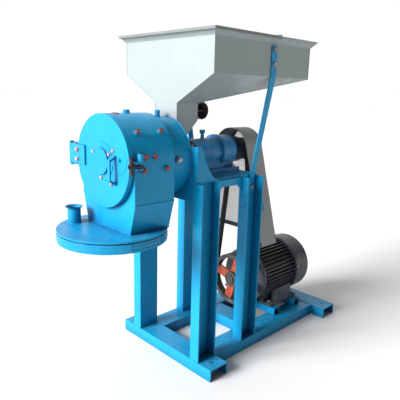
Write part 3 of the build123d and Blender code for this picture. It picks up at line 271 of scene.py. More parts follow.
def enamel(name, base, deep, chip, gloss=0.30, dust=0.05, wear=0.4):
    """Brushed enamel on steel: soft patches, runs, orange peel, dust on top and worn edges."""
    g = Graph(name)
    patches = g.spread(g.noise(5.0), 0.35, 0.7)
    runs = g.spread(g.noise(1.0, 4.0, (90, 90, 7)), 0.52, 0.75)
    color = g.mix(g.math("MULTIPLY", patches, 0.3), base, deep)
    color = g.mix(g.math("MULTIPLY", runs, 0.22), color, deep)
    # Painted shade in tight corners: within 18 mm of a corner the paint turns a darker tone, made patchy by noise.
    painted_corner_shade = g.math("MULTIPLY", g.corners(18 * MM), g.spread(g.noise(30.0), 0.3, 0.7, 0.35, 0.85))
    color = g.mix(painted_corner_shade, color, rgb(deep[0] * 0.35, deep[1] * 0.35, deep[2] * 0.4))
    # Painted shade in recesses: within 100 mm of other surfaces the paint darkens strongly towards navy.
    shaded = g.math("MULTIPLY", g.corners(100 * MM), 0.8)
    color = g.mix(shaded, color, rgb(deep[0] * 0.4, deep[1] * 0.16, deep[2] * 0.38))
    settled = g.math("MULTIPLY", g.upward(), g.spread(g.noise(18.0, 5.0), 0.4, 0.75, 0.1, 1.0))
    color = g.mix(g.math("MULTIPLY", settled, dust), color, DUST)
    edge, round_normal = g.edges(1.6 * MM)
    worn = g.math("MULTIPLY", edge, g.spread(g.noise(70.0, 5.0), 0.52, 0.66))
    color = g.mix(g.math("MULTIPLY", worn, wear), color, chip)
    rough = g.spread(g.noise(24.0, 4.0), 0.3, 0.75, gloss - 0.05, gloss + 0.16)
    height = g.math("ADD", g.noise(420.0, 2.0), g.math("MULTIPLY", g.noise(38.0), 1.8))
    return g.finish(color, rough, g.bump(height, 0.16, 0.7 * MM, round_normal), shine=ENAMEL_SHINE)


def casting(name, base, deep, gloss=0.42, coat=0.15):
    """Paint over a sand casting: a pitted, pebbly skin."""
    g = Graph(name)
    color = g.mix(g.spread(g.noise(28.0, 5.0), 0.35, 0.7), base, deep)
    # Painted shade: the paint turns near-black in tight corners.
    painted_corner_shade = g.math("MULTIPLY", g.corners(22 * MM), 0.7)
    color = g.mix(painted_corner_shade, color, rgb(0.015, 0.02, 0.03))
    color = g.mix(g.math("MULTIPLY", g.upward(), 0.10), color, rgb(0.6, 0.58, 0.54))
    edge, round_normal = g.edges(2.2 * MM)
    # Painted highlight: sharp edges take a brighter copy of the paint colour.
    color = g.mix(g.math("MULTIPLY", edge, 0.22), color, rgb(base[0] * 2, base[1] * 1.5, base[2] * 1.3))
    height = g.math("ADD", g.noise(260.0, 4.0), g.math("MULTIPLY", g.cells(120.0), 0.8))
    rough = g.spread(g.noise(60.0), 0.3, 0.7, gloss - 0.05, gloss + 0.15)
    return g.finish(color, rough, g.bump(height, 0.45, 1.0 * MM, round_normal), coat=coat)


def turned_metal(name, base, dark, pitch, gloss):
    """Lathe-turned metal: fine rings round the mill's axis, stains and a little rust."""
    g = Graph(name)
    rings = g.math("SINE", g.math("MULTIPLY", g.from_axis(MILL_AXIS), 2 * math.pi / pitch))
    stain = g.spread(g.noise(26.0, 5.0), 0.42, 0.72)
    color = g.mix(g.math("MULTIPLY", stain, 0.7), base, dark)
    rust = g.math("MULTIPLY", g.corners(8 * MM), g.spread(g.noise(90.0), 0.4, 0.6, 0.1, 0.6))
    color = g.mix(rust, color, RUST)
    _, round_normal = g.edges(1.0 * MM)
    height = g.math("ADD", g.math("MULTIPLY", rings, 0.25), g.noise(300.0, 3.0))
    rough = g.spread(stain, 0.0, 1.0, gloss, gloss + 0.25)
    return g.finish(color, rough, g.bump(height, 0.25, 0.4 * MM, round_normal), metallic=1.0)


def motor_pulley_finish():
    """Bare turned rim, orange-painted spokes and a greasy grey hub."""
    g = Graph("pulley_orange")
    rim_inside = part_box("motor_pulley")[1].z - MOTOR_AXIS.z - RIM_DEPTH
    radius = g.from_axis(MOTOR_AXIS)
    orange = g.mix(g.spread(g.noise(32.0, 5.0), 0.4, 0.7), rgb(0.50, 0.088, 0.032), rgb(0.30, 0.050, 0.022))
    # Painted shade: the orange darkens to a deep red-brown in the corners between spokes, rim and hub.
    orange = g.mix(g.math("MULTIPLY", g.corners(14 * MM), 0.6), orange, rgb(0.10, 0.02, 0.01))
    iron = g.mix(g.spread(g.noise(45.0, 4.0), 0.35, 0.7), rgb(0.085, 0.078, 0.072), rgb(0.032, 0.030, 0.027))
    on_rim = g.spread(radius, rim_inside - FADE, rim_inside + FADE)
    on_hub = g.spread(radius, HUB_BARE_R + FADE, HUB_BARE_R - FADE)
    bare = g.math("MAXIMUM", on_rim, on_hub)
    scuffed = g.spread(g.noise(110.0, 4.0), 0.62, 0.70)
    bare = g.math("MAXIMUM", bare, g.math("MULTIPLY", scuffed, 0.6))
    edge, round_normal = g.edges(1.8 * MM)
    color = g.mix(bare, orange, iron)
    color = g.mix(g.math("MULTIPLY", on_hub, 0.4), color, rgb(0.035, 0.030, 0.027))
    color = g.mix(g.math("MULTIPLY", edge, 0.25), color, rgb(0.35, 0.33, 0.31))
    height = g.math("ADD", g.noise(230.0, 4.0), g.noise(60.0))
    return g.finish(color, g.spread(bare, 0.0, 1.0, 0.42, 0.5), g.bump(height, 0.4, 0.8 * MM, round_normal))


def belt_finish():
    """Moulded rubber with a woven cover: cross cords and dust."""
    g = Graph("belt_rubber")
    weave = g.math("SINE", g.math("MULTIPLY", g.noise(1.0, 0.0, (300, 300, 900)), 60.0))
    dusty = g.spread(g.noise(40.0, 4.0), 0.45, 0.75)
    color = g.mix(g.math("MULTIPLY", dusty, 0.5), rgb(0.012, 0.012, 0.013), rgb(0.06, 0.058, 0.055))
    _, round_normal = g.edges(1.5 * MM)
    return g.finish(color, 0.62, g.bump(weave, 0.3, 0.3 * MM, round_normal))


def red_heads():
    """Red lead paint on bolt heads, brushed thin on the corners."""
    g = Graph("bolt_red")
    color = g.mix(g.spread(g.noise(120.0, 4.0), 0.35, 0.7), rgb(0.26, 0.050, 0.042), rgb(0.14, 0.035, 0.032))
    edge, round_normal = g.edges(1.0 * MM)
    color = g.mix(g.math("MULTIPLY", edge, 0.45), color, rgb(0.36, 0.20, 0.18))
    # Painted shade: the red turns near-black in tight corners.
    color = g.mix(g.math("MULTIPLY", g.corners(6 * MM), 0.6), color, rgb(0.03, 0.02, 0.02))
    return g.finish(color, 0.38, g.bump(g.noise(500.0), 0.3, 0.4 * MM, round_normal), coat=0.1)


def plated(name, base, dark, gloss=0.32, metallic=0.9):
    """Plated or oiled fasteners: streaked metal with dark corners."""
    g = Graph(name)
    color = g.mix(g.spread(g.noise(90.0, 5.0), 0.4, 0.7), base, dark)
    # Painted shade: the metal turns near-black in tight corners.
    color = g.mix(g.math("MULTIPLY", g.corners(6 * MM), 0.7), color, rgb(0.02, 0.018, 0.016))
    _, round_normal = g.edges(0.9 * MM)
    rough = g.spread(g.noise(70.0), 0.3, 0.7, gloss, gloss + 0.2)
    return g.finish(color, rough, g.bump(g.noise(450.0), 0.25, 0.3 * MM, round_normal), metallic)


def worn_iron():
    """Bare crushing iron: dark, pitted and streaked with rust and meal dust."""
    g = Graph("wear_iron")
    color = g.mix(g.spread(g.noise(40.0, 6.0), 0.35, 0.7), rgb(0.20, 0.185, 0.17), rgb(0.07, 0.055, 0.045))
    color = g.mix(g.spread(g.noise(16.0, 5.0), 0.62, 0.75, 0.0, 0.55), color, rgb(0.19, 0.075, 0.03))
    color = g.mix(g.math("MULTIPLY", g.upward(), 0.25), color, MEAL)
    _, round_normal = g.edges(1.4 * MM)
    height = g.math("ADD", g.noise(180.0, 5.0), g.cells(90.0))
    return g.finish(color, 0.55, g.bump(height, 0.5, 1.0 * MM, round_normal), metallic=0.75)


BLUE, BLUE_DEEP = rgb(0.004, 0.245, 0.46), rgb(0.003, 0.165, 0.36)
PALE_CHIP = rgb(0.20, 0.34, 0.42)


def make_finishes():
    """The material for each material slot of the record."""
    return {
        "blue_enamel": enamel("blue_enamel", BLUE, BLUE_DEEP, PALE_CHIP),
        "blue_casting": casting("blue_casting", rgb(0.024, 0.26, 0.54), rgb(0.013, 0.17, 0.40)),
        # Painted shade: the bearing covers take a dark navy copy of the blue casting finish, standing in for the
        # guard's shadow over them.
        "navy_casting": casting("navy_casting", rgb(0.006, 0.035, 0.095), rgb(0.003, 0.018, 0.055)),
        "bolt_pale": plated(
            "bolt_pale", rgb(0.44, 0.31, 0.32), rgb(0.30, 0.14, 0.13), gloss=0.4, metallic=0.15
        ),
        "hopper_grey": enamel(
            "hopper_grey", rgb(0.265, 0.305, 0.305), rgb(0.22, 0.25, 0.25), rgb(0.15, 0.15, 0.145),
            gloss=0.34, dust=0.05, wear=0.3,
        ),
        "cover_grey": enamel(
            "cover_grey", rgb(0.17, 0.185, 0.18), rgb(0.11, 0.12, 0.118), rgb(0.25, 0.25, 0.245)
        ),
        "guard_grey": enamel(
            "guard_grey", rgb(0.26, 0.28, 0.265), rgb(0.20, 0.215, 0.205), rgb(0.13, 0.13, 0.125),
            gloss=0.36, dust=0.08, wear=0.4,
        ),
        "guard_dark": enamel(
            "guard_dark", rgb(0.055, 0.058, 0.062), rgb(0.03, 0.03, 0.033), rgb(0.18, 0.18, 0.18)
        ),
        "motor_charcoal": casting(
            "motor_charcoal", rgb(0.060, 0.066, 0.076), rgb(0.032, 0.036, 0.042), gloss=0.40, coat=0.1
        ),
        "belt_rubber": belt_finish(),
        "pulley_iron": turned_metal(
            "pulley_iron", rgb(0.13, 0.13, 0.135), rgb(0.05, 0.05, 0.05), pitch=2.5 * MM, gloss=0.4
        ),
        "pulley_orange": motor_pulley_finish(),
        "shaft_steel": turned_metal(
            "shaft_steel", rgb(0.15, 0.14, 0.13), rgb(0.08, 0.074, 0.068), pitch=1.5 * MM, gloss=0.45
        ),
        "bolt_red": red_heads(),
        "bolt_steel": plated("bolt_steel", rgb(0.36, 0.37, 0.39), rgb(0.18, 0.18, 0.19)),
        "wear_iron": worn_iron(),
        "dark_steel": plated("dark_steel", rgb(0.055, 0.055, 0.06), rgb(0.025, 0.025, 0.028), gloss=0.36),
    }


def dress_cad_nodes(finishes):
    """Give every CAD node the finish of its slot."""
    for part in frame["record"]["subparts"]:
        node = frame["nodes"][part["node"]]
        node.data.materials.clear()
        node.data.materials.append(finishes[part["material_slot"]])


# ---- Building added pieces -----------------------------------------------------------------------
WELD_STEP, WELD_RIPPLE, WELD_SIDES = 1.5 * MM, 4.5 * MM, 7
DOME_SIDES = 16


def piece(name, mesh, slot, body="root", smooth=True):
    """Link a mesh as a piece that rides on a body and takes its slot's finish."""
    made = bpy.data.objects.new(name, mesh)
    SCENE.collection.objects.link(made)
    mesh.materials.append(FINISHES[slot])
    if smooth:
        mesh.polygons.foreach_set("use_smooth", [True] * len(mesh.polygons))
    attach(made, body)
    return made


def new_mesh(name, bm):
    mesh = bpy.data.meshes.new(name)
    bmesh.ops.recalc_face_normals(bm, faces=bm.faces)
    bm.to_mesh(mesh)
    bm.free()
    return mesh


def resample(points, step, closed):
    """Points at an even step along a polyline."""
    ends = points + [points[0]] if closed else points
    out = []
    for a, b in zip(ends, ends[1:]):
        count = max(1, round((b - a).length / step))
        out += [a.lerp(b, i / count) for i in range(count)]
    return out if closed else out + [ends[-1]]


def add_tube(bm, points, radius_at, sides=8, closed=False):
    """Sweep a circle, whose radius may change, along a polyline."""
    count = len(points)
    rings = []
    side = None
    for i, point in enumerate(points):
        before = points[i - 1] if i or closed else point
        after = points[(i + 1) % count] if i + 1 < count or closed else point
        along = (after - before).normalized()
        if side is None:
            side = along.orthogonal().normalized()
        side = (side - along * side.dot(along)).normalized()
        other = along.cross(side)
        radius = radius_at(i)
        ring = []
        for k in range(sides):
            a = 2 * math.pi * k / sides
            ring.append(bm.verts.new(point + (side * math.cos(a) + other * math.sin(a)) * radius))
        rings.append(ring)
    pairs = list(zip(rings, rings[1:]))
    if closed:
        pairs.append((rings[-1], rings[0]))
    for first, second in pairs:
        for k in range(sides):
            m = (k + 1) % sides
            bm.faces.new((first[k], first[m], second[m], second[k]))
    if not closed:
        bm.faces.new(rings[0][::-1])
        bm.faces.new(rings[-1])


def weld_group(name, paths, slot, radius):
    """Rippled weld beads along several paths, each (points, closed), as one piece."""
    bm = bmesh.new()
    for points, closed in paths:
        line = resample(points, WELD_STEP, closed)
        phase = random.random()
        jitter = [random.uniform(0.94, 1.06) for _ in line]

        def radius_at(i):
            wave = math.sin(2 * math.pi * (i * WELD_STEP / WELD_RIPPLE + phase))
            return radius * (1 + 0.13 * wave) * jitter[i]

        add_tube(bm, line, radius_at, WELD_SIDES, closed)
    piece(name, new_mesh(name, bm), slot)


def circle(centre, radius, axis, count=64, start=0.0, turn=360.0):
    """Points on a circle or an arc, at angles measured in the plane square to the axis."""
    axis = Vector(axis).normalized()
    across = Vector((1, 0, 0)) if abs(axis.x) < 0.9 else Vector((0, 1, 0))
    across = (across - axis * across.dot(axis)).normalized()
    up = axis.cross(across)
    steps = count if turn == 360.0 else count + 1
    out = []
    for i in range(steps):
        a = math.radians(start + turn * i / count)
        out.append(Vector(centre) + (across * math.cos(a) + up * math.sin(a)) * radius)
    return out


def add_flat_ring(bm, centre, axis, inner, outer, thickness, sides=72):
    """A washer-shaped plate with softened outer edges, its near face at the centre given."""
    axis = Vector(axis).normalized()
    soft = min(0.4 * MM, thickness / 3)
    profile = (
        (inner, 0.0), (outer - soft, 0.0), (outer, soft),
        (outer, thickness - soft), (outer - soft, thickness), (inner, thickness),
    )
    rings = []
    for radius, lift in profile:
        rings.append([bm.verts.new(p) for p in circle(Vector(centre) + axis * lift, radius, axis, sides)])
    for first, second in zip(rings, rings[1:] + rings[:1]):
        for i in range(sides):
            k = (i + 1) % sides
            bm.faces.new((first[i], first[k], second[k], second[i]))


def add_hex_head(bm, at, out, across, height):
    """A hexagon head with a chamfered top, standing on the point at."""
    out = Vector(out).normalized()
    radius = across / math.sqrt(3)
    low = circle(at, radius, out, 6)
    mid = [p + out * height * 0.8 for p in low]
    top = [p.lerp(Vector(at), 0.14) + out * height for p in low]
    rings = [[bm.verts.new(p) for p in ring] for ring in (low, mid, top)]
    for first, second in zip(rings, rings[1:]):
        for i in range(6):
            k = (i + 1) % 6
            bm.faces.new((first[i], first[k], second[k], second[i]))
    bm.faces.new(rings[0][::-1])
    bm.faces.new(rings[-1])


def add_dome(bm, at, out, radius, height):
    """A low round rivet head."""
    out = Vector(out).normalized()
    rings = []
    for share, lift in ((1.0, 0.0), (0.94, 0.45), (0.72, 0.8), (0.36, 0.97)):
        ring = circle(Vector(at) + out * height * lift, radius * share, out, DOME_SIDES)
        rings.append([bm.verts.new(p) for p in ring])
    for first, second in zip(rings, rings[1:]):
        for i in range(DOME_SIDES):
            k = (i + 1) % DOME_SIDES
            bm.faces.new((first[i], first[k], second[k], second[i]))
    bm.faces.new(rings[-1])
    bm.faces.new(rings[0][::-1])


# ---- Welds ---------------------------------------------------------------------------------------
WEB = 5 * MM                       # wall of the channels
POST_WEB_X = 163 * MM              # inboard face of the posts
WELD_LIFT = 4 * MM                 # where a bead starts above the floor or in from an edge
BARREL_R, OUTLET_HALF, SEAM_Z = 163 * MM, 135 * MM, 714 * MM
VENT_FOOT_R = 24 * MM
STUB_YS, STUB_RADII = (-409 * MM, -270 * MM), (12 * MM, 10 * MM)
BOSS_ROWS = (33 * MM, 130 * MM)    # bolt rows, behind the casing's front
BOSS_ANGLES, BOSS_R, BOSS_FOOT, BOSS_TOP = (-6, 39, 141, 174), 9.5 * MM, 163.5 * MM, 171 * MM


def frame_welds():
    """Fillets where posts stand on the base, and where the frame's pieces meet."""
    paths = []
    for node in ("front_posts", "rear_posts"):
        low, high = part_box(node)
        for side in (-1, 1):
            near, far = side * POST_WEB_X, side * high.x
            foot = [
                Vector((far, low.y, low.z)), Vector((near, low.y, low.z)),
                Vector((near, high.y, low.z)), Vector((far, high.y, low.z)),
            ]
            paths.append((foot, False))
            recess = [
                Vector((far, low.y + WEB, low.z)), Vector((near + side * WEB, low.y + WEB, low.z)),
                Vector((near + side * WEB, high.y - WEB, low.z)), Vector((far, high.y - WEB, low.z)),
            ]
            paths.append((recess, False))
    rails_low, rails_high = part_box("base_side_rails")
    middle_low, middle_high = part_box("base_middle_channel")
    top = rails_high.z
    for side in (-1, 1):
        x, outer = side * middle_high.x, side * rails_high.x
        for y in (rails_low.y, rails_high.y):
            end = [Vector((x, y, top)), Vector((outer, y, top)), Vector((outer, y, WELD_LIFT))]
            paths.append((end, False))
        for y in (middle_low.y, middle_high.y):
            paths.append(([Vector((x, y, WELD_LIFT)), Vector((x, y, top))], False))
        paths.append(([Vector((x, middle_low.y, top)), Vector((x, middle_high.y, top))], False))
    plate_low, plate_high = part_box("mill_mounting_plate")
    post_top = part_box("front_posts")[1].z
    for side in (-1, 1):
        x = side * POST_WEB_X
        paths.append(([Vector((x, plate_high.y, plate_low.z)), Vector((x, plate_high.y, post_top))], False))
        gusset_in = side * (plate_high.x - WEB)
        paths.append(([
            Vector((gusset_in, plate_high.y, plate_high.z)), Vector((gusset_in, plate_high.y, post_top)),
            Vector((gusset_in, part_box("side_gussets")[1].y, post_top)),
        ], False))
        paths.append(([
            Vector((side * plate_high.x, plate_low.y + WELD_LIFT, post_top)),
            Vector((side * plate_high.x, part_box("front_posts")[1].y, post_top)),
        ], False))
    weld_group("frame_welds", paths, "blue_enamel", 2.4 * MM)


def casing_welds():
    """Beads on the mill casing, the feed ring, the hood and the pipes."""
    low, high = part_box("casing_shell")
    ring_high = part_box("feed_ring")[1]
    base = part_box("discharge_hood")[1].z
    paths = []
    for side in (-1, 1):
        x = side * BARREL_R
        paths.append(([Vector((x, low.y, SEAM_Z)), Vector((x, high.y, SEAM_Z))], False))
    outlet = [
        Vector((-OUTLET_HALF, low.y, base)), Vector((OUTLET_HALF, low.y, base)),
        Vector((OUTLET_HALF, high.y, base)), Vector((-OUTLET_HALF, high.y, base)),
    ]
    paths.append((outlet, True))
    ring_r = ring_high.z - MILL_AXIS.z
    centre = Vector((0, high.y, MILL_AXIS.z))
    paths.append((circle(centre, ring_r, (0, 1, 0), 120), True))
    back = Vector((0, ring_high.y - 1 * MM, MILL_AXIS.z))
    paths.append((circle(back, ring_r, (0, 1, 0), 120, 28, -236), False))
    vent_low, vent_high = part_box("vent_pipe")
    vent = (vent_low + vent_high) / 2
    paths.append((circle((vent.x, vent.y, vent_low.z), VENT_FOOT_R, (0, 0, 1), 32), True))
    for y, radius, reach in zip(STUB_YS, STUB_RADII, (BARREL_R, ring_r)):
        paths.append((circle((0, y, MILL_AXIS.z + reach), radius, (0, 0, 1), 24), True))
    weld_group("casing_welds", paths, "blue_enamel", 2.2 * MM)


def boss_welds():
    """The small fillet round the foot of each bolt boss, and the rolled edge at its top."""
    paths, rims = [], []
    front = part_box("casing_shell")[0].y
    for y in (front + row for row in BOSS_ROWS):
        for angle in BOSS_ANGLES:
            a = math.radians(angle)
            out = Vector((math.cos(a), 0, math.sin(a)))
            axis_at = Vector((0, y, MILL_AXIS.z))
            paths.append((circle(axis_at + out * BOSS_FOOT, BOSS_R, out, 20), True))
            rims.append(circle(axis_at + out * (BOSS_TOP - 0.6 * MM), BOSS_R, out, 24))
    weld_group("boss_welds", paths, "blue_enamel", 1.6 * MM)
    bm = bmesh.new()
    for rim in rims:
        add_tube(bm, rim, lambda i: 0.9 * MM, 6, True)
    piece("boss_rims", new_mesh("boss_rims", bm), "blue_enamel")


HOPPER_LIP, HOPPER_FLARE, HOPPER_TAPER = 23 * MM, 20 * MM, 104 * MM
CHUTE_SEAM = 66 * MM               # length of the seam below the hopper


def hopper_seams():
    """The welded corner seams of the hopper and the chute, and the hem round the rim."""
    low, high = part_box("hopper_bin")
    chute_low, chute_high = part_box("feed_chute")
    flare = HOPPER_FLARE
    taper_z = low.z + HOPPER_TAPER
    lip_z = high.z - HOPPER_LIP
    front, rear = low.y + flare, high.y - flare
    paths = []
    for side in (-1, 1):
        body, throat = side * (high.x - flare), side * chute_high.x
        for y, throat_y in ((front, chute_low.y), (rear, chute_high.y)):
            rim_y = y - flare if y == front else y + flare
            paths.append(([
                Vector((side * high.x, rim_y, high.z)), Vector((body, y, lip_z)), Vector((body, y, taper_z)),
                Vector((throat, throat_y, low.z)), Vector((throat, throat_y, low.z - CHUTE_SEAM)),
            ], False))
    weld_group("hopper_seams", paths, "hopper_grey", 1.3 * MM)
    bm = bmesh.new()
    corners = [
        Vector((low.x, low.y, high.z)), Vector((high.x, low.y, high.z)),
        Vector((high.x, high.y, high.z)), Vector((low.x, high.y, high.z)),
    ]
    line = resample(corners, 12 * MM, True)
    add_tube(bm, line, lambda i: 2.8 * MM, 10, True)
    piece("hopper_hem", new_mesh("hopper_hem", bm), "hopper_grey")


# ---- Belt guard ----------------------------------------------------------------------------------
PANEL_T, PANEL_BORDER = 1.2 * MM, 13 * MM
HOLE_PITCH, HOLE_R = 11 * MM, 3.9 * MM
OUTLINE_STEPS = 60


def guard_outline_half_width(z):
    """Half the width of the guard's panel at a height."""
    band_low, band_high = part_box("guard_band")
    radius = band_high.z - MILL_AXIS.z
    foot_x, foot_z = band_high.x, band_low.z
    drop = foot_z - MILL_AXIS.z
    reach = math.hypot(foot_x, drop)
    angle = math.atan2(drop, foot_x) + math.acos(radius / reach)
    touch_x, touch_z = radius * math.cos(angle), MILL_AXIS.z + radius * math.sin(angle)
    if z > touch_z:
        return math.sqrt(max(0.0, radius ** 2 - (z - MILL_AXIS.z) ** 2))
    share = (z - foot_z) / (touch_z - foot_z)
    return foot_x + (touch_x - foot_x) * share


def add_holed_cell(bm, x, y, z, half, hole):
    """A square of sheet with a round hole through it, facing Y."""
    sides = 8
    outer, inner = [], []
    for k in range(sides):
        a = 2 * math.pi * (k + 0.5) / sides
        c, s = math.cos(a), math.sin(a)
        scale = half / max(abs(c), abs(s))
        outer.append((x + c * scale, z + s * scale))
        inner.append((x + c * hole, z + s * hole))
    verts = []
    for layer in (y, y + PANEL_T):
        verts.append([bm.verts.new((u, layer, w)) for u, w in outer])
        verts.append([bm.verts.new((u, layer, w)) for u, w in inner])
    front_out, front_in, back_out, back_in = verts
    for k in range(sides):
        m = (k + 1) % sides
        bm.faces.new((front_out[k], front_out[m], front_in[m], front_in[k]))
        bm.faces.new((back_out[m], back_out[k], back_in[k], back_in[m]))
        bm.faces.new((front_in[k], front_in[m], back_in[m], back_in[k]))


def guard_panel():
    """The perforated rear panel of the guard, with its plain folded border."""
    low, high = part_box("guard_mesh")
    pitch, border = HOLE_PITCH, PANEL_BORDER
    bm = bmesh.new()
    rows = int((high.z - low.z) / pitch)
    for row in range(rows):
        z = low.z + (row + 0.5) * pitch
        reach = guard_outline_half_width(z + pitch / 2) - border * 0.6
        count = int(reach / pitch)
        for i in range(-count, count + 1):
            add_holed_cell(bm, i * pitch, low.y + 0.2 * MM, z, pitch / 2, HOLE_R)
    bmesh.ops.remove_doubles(bm, verts=bm.verts, dist=0.02 * MM)
    panel = piece("guard_panel", new_mesh("guard_panel", bm), "guard_grey", smooth=False)
    bm = bmesh.new()
    outer, inner = [], []
    top = high.z
    levels = [low.z + (top - low.z) * i / OUTLINE_STEPS for i in range(OUTLINE_STEPS + 1)]
    for z in levels:
        half = guard_outline_half_width(z)
        outer.append((half, z))
        inner.append((max(0.0, half - border), min(z, top - border)))
    right = list(zip(outer, inner))
    left = [((-a[0], a[1]), (-b[0], b[1])) for a, b in reversed(right[:-1])]
    layers = []
    for layer in (low.y, high.y):
        layers.append([
            (bm.verts.new((a[0], layer, a[1])), bm.verts.new((b[0], layer, b[1]))) for a, b in right + left
        ])
    near, far = layers
    for i in range(len(near) - 1):
        bm.faces.new((near[i][0], near[i + 1][0], near[i + 1][1], near[i][1]))
        bm.faces.new((far[i][1], far[i + 1][1], far[i + 1][0], far[i][0]))
        bm.faces.new((near[i][0], far[i][0], far[i + 1][0], near[i + 1][0]))
        bm.faces.new((near[i][1], near[i + 1][1], far[i + 1][1], far[i][1]))
    for end in (0, -1):
        bm.faces.new((near[end][0], near[end][1], far[end][1], far[end][0]))
    piece("guard_panel_border", new_mesh("guard_panel_border", bm), "guard_grey", smooth=False)
    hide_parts("guard_mesh")


# ---- Motor details -------------------------------------------------------------------------------
BELL_BOLT_R, COWL_BAFFLE_R = 108 * MM, 113 * MM
COWL_SCREW_TURN = 8                # the cowl's screws sit a little off the quarter points


def motor_details():
    """Bell bolts, cowl screws, the cowl's pressed beads and the baffle inside its front."""
    bell_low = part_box("motor_front_bell")[0]
    cowl_low, cowl_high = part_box("motor_fan_cover")
    bm = bmesh.new()
    face_y = bell_low.y + 6 * MM
    for angle in (45, 135, 225, 315):
        a = math.radians(angle)
        at = Vector((BELL_BOLT_R * math.cos(a), face_y, MOTOR_AXIS.z + BELL_BOLT_R * math.sin(a)))
        add_hex_head(bm, at, (0, -1, 0), 13 * MM, 6 * MM)
    cowl_r = cowl_high.x
    for angle in (0, 90, 180, 270):
        a = math.radians(angle + COWL_SCREW_TURN)
        out = Vector((math.cos(a), 0, math.sin(a)))
        at = Vector((0, cowl_low.y + 10 * MM, MOTOR_AXIS.z)) + out * (cowl_r - 0.3 * MM)
        add_dome(bm, at, out, 5 * MM, 3 * MM)
    piece("motor_screws", new_mesh("motor_screws", bm), "bolt_steel", smooth=False)
    bm = bmesh.new()
    for behind in (3 * MM, 8 * MM):
        bead = circle((0, cowl_low.y + behind, MOTOR_AXIS.z), cowl_r - 0.6 * MM, (0, 1, 0), 72)
        add_tube(bm, bead, lambda i: 1.5 * MM, 6, True)
    piece("cowl_beads", new_mesh("cowl_beads", bm), "motor_charcoal")
    bm = bmesh.new()
    front = (0, cowl_low.y + 2 * MM, MOTOR_AXIS.z)
    add_flat_ring(bm, front, (0, 1, 0), COWL_BAFFLE_R, cowl_r - 3 * MM, 2 * MM)
    piece("cowl_baffle", new_mesh("cowl_baffle", bm), "motor_charcoal", smooth=False)


# ---- Small details -------------------------------------------------------------------------------
HOOD_BEAD_GAP = 14 * MM
LAP_START, LAP_TURN, LAP_STEPS, LAP_PROUD = 15.5, 14.5, 12, 1.5 * MM
PLUG_Y, PLUG_ANGLE, PLUG_SEAT_R = -465 * MM, 84.5, 162.4 * MM
PAD_X, PAD_Z, PAD_R = 106 * MM, 862 * MM, 42 * MM
RIVET_R, RIVET_TOP = 4.5 * MM, 2.4 * MM
COVER_INSET, COVER_SIDE_RIVETS, COVER_FRONT_GAPS = 14 * MM, 6, 8
GUARD_ROWS, GUARD_ROW_START = 7, 60 * MM


def hood_ring_details():
    """Two rolled beads round the hood's ring and the lap plate over its joint."""
    low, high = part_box("discharge_ring")
    centre = Vector((0, (low.y + high.y) / 2, (low.z + high.z) / 2 - 2 * MM))
    radius = high.x + 0.7 * MM
    bm = bmesh.new()
    for z in (-HOOD_BEAD_GAP / 2, HOOD_BEAD_GAP / 2):
        bead = circle(centre + Vector((0, 0, z)), radius - 0.5 * MM, (0, 0, 1), 160)
        add_tube(bm, bead, lambda i: 1.1 * MM, 6, True)
    piece("hood_ring_beads", new_mesh("hood_ring_beads", bm), "blue_enamel")
    bm = bmesh.new()
    columns = []
    for i in range(LAP_STEPS + 1):
        a = math.radians(-LAP_START - LAP_TURN * i / LAP_STEPS)
        column = []
        for radius, z in (
            (high.x - 1 * MM, low.z + 1 * MM), (high.x + LAP_PROUD, low.z + 1 * MM),
            (high.x + LAP_PROUD, high.z - 5 * MM), (high.x - 1 * MM, high.z - 5 * MM),
        ):
            column.append(bm.verts.new((radius * math.cos(a), centre.y + radius * math.sin(a), z)))
        columns.append(column)
    for first, second in zip(columns, columns[1:]):
        for i in range(4):
            k = (i + 1) % 4
            bm.faces.new((first[i], first[k], second[k], second[i]))
    bm.faces.new(columns[0])
    bm.faces.new(columns[-1][::-1])
    piece("hood_lap_plate", new_mesh("hood_lap_plate", bm), "blue_enamel", smooth=False)


def casing_plug():
    """The low round plug in the top of the casing."""
    a = math.radians(PLUG_ANGLE)
    out = Vector((math.cos(a), 0, math.sin(a)))
    at = Vector((0, PLUG_Y, MILL_AXIS.z)) + out * PLUG_SEAT_R
    bm = bmesh.new()
    add_flat_ring(bm, at, out, 5 * MM, 13 * MM, 2.4 * MM, 40)
    add_hex_head(bm, at + out * 0.5 * MM, out, 11 * MM, 3 * MM)
    piece("casing_plug", new_mesh("casing_plug", bm), "bolt_red", smooth=False)


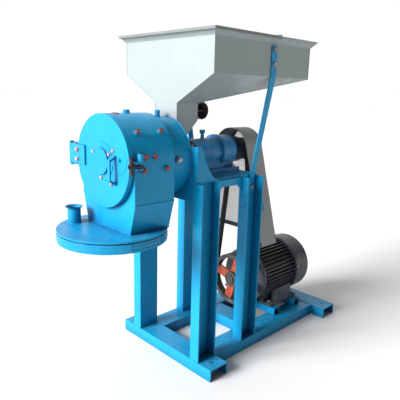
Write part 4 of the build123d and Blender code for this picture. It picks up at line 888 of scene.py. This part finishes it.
def latch_pad():
    """The raised round pad behind the door's handle. It ends short of the hand nut's turning wings."""
    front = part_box("door_plate")[0].y
    bm = bmesh.new()
    add_flat_ring(bm, (PAD_X, front, PAD_Z), (0, -1, 0), 3 * MM, PAD_R, 1.2 * MM, 60)
    piece("latch_pad", new_mesh("latch_pad", bm), "blue_enamel", "door", smooth=False)


def vent_rim():
    """The dark rolled edge at the mouth of the vent pipe."""
    low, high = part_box("vent_pipe")
    middle = (low + high) / 2
    bm = bmesh.new()
    radius = (high.x - low.x) / 2 - 1.6 * MM
    mouth = circle((middle.x, middle.y, high.z - 0.5 * MM), radius, (0, 0, 1), 40)
    add_tube(bm, mouth, lambda i: 1.3 * MM, 7, True)
    piece("vent_rim", new_mesh("vent_rim", bm), "dark_steel")


def cover_rivets():
    """The rivets that hold the half cover on the hopper's rim."""
    low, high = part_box("hopper_cover")
    top = low.z + 9.5 * MM
    bm = bmesh.new()
    spots = []
    for side in (-1, 1):
        for i in range(COVER_SIDE_RIVETS):
            y = low.y + 24 * MM + (high.y - low.y - 48 * MM) * i / (COVER_SIDE_RIVETS - 1)
            spots.append((side * (high.x - COVER_INSET), y, top))
    for i in range(1, COVER_FRONT_GAPS):
        x = low.x + (high.x - low.x) * i / COVER_FRONT_GAPS
        spots.append((x, low.y + COVER_INSET, top))
    for spot in spots:
        add_dome(bm, spot, (0, 0, 1), RIVET_R, RIVET_TOP)
    piece("cover_rivets", new_mesh("cover_rivets", bm), "bolt_steel")


def guard_rivets():
    """The rivets down both sides of the guard's rear edge."""
    low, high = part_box("guard_band")
    y = high.y + 2 * MM
    bm = bmesh.new()
    start = low.z + GUARD_ROW_START
    for i in range(GUARD_ROWS):
        z = start + (MILL_AXIS.z - start) * i / (GUARD_ROWS - 1)
        half = guard_outline_half_width(z) - 7 * MM
        for side in (-1, 1):
            add_dome(bm, (side * half, y, z), (0, 1, 0), 3.4 * MM, 2 * MM)
    piece("guard_rivets", new_mesh("guard_rivets", bm), "bolt_steel")


make_camera()
make_world()
make_sun()
make_floor()
FINISHES = make_finishes()
dress_cad_nodes(FINISHES)
frame_welds()
casing_welds()
boss_welds()
hopper_seams()
guard_panel()
motor_details()
hood_ring_details()
casing_plug()
latch_pad()
vent_rim()
cover_rivets()
guard_rivets()

SCENE.view_settings.view_transform = "Standard"
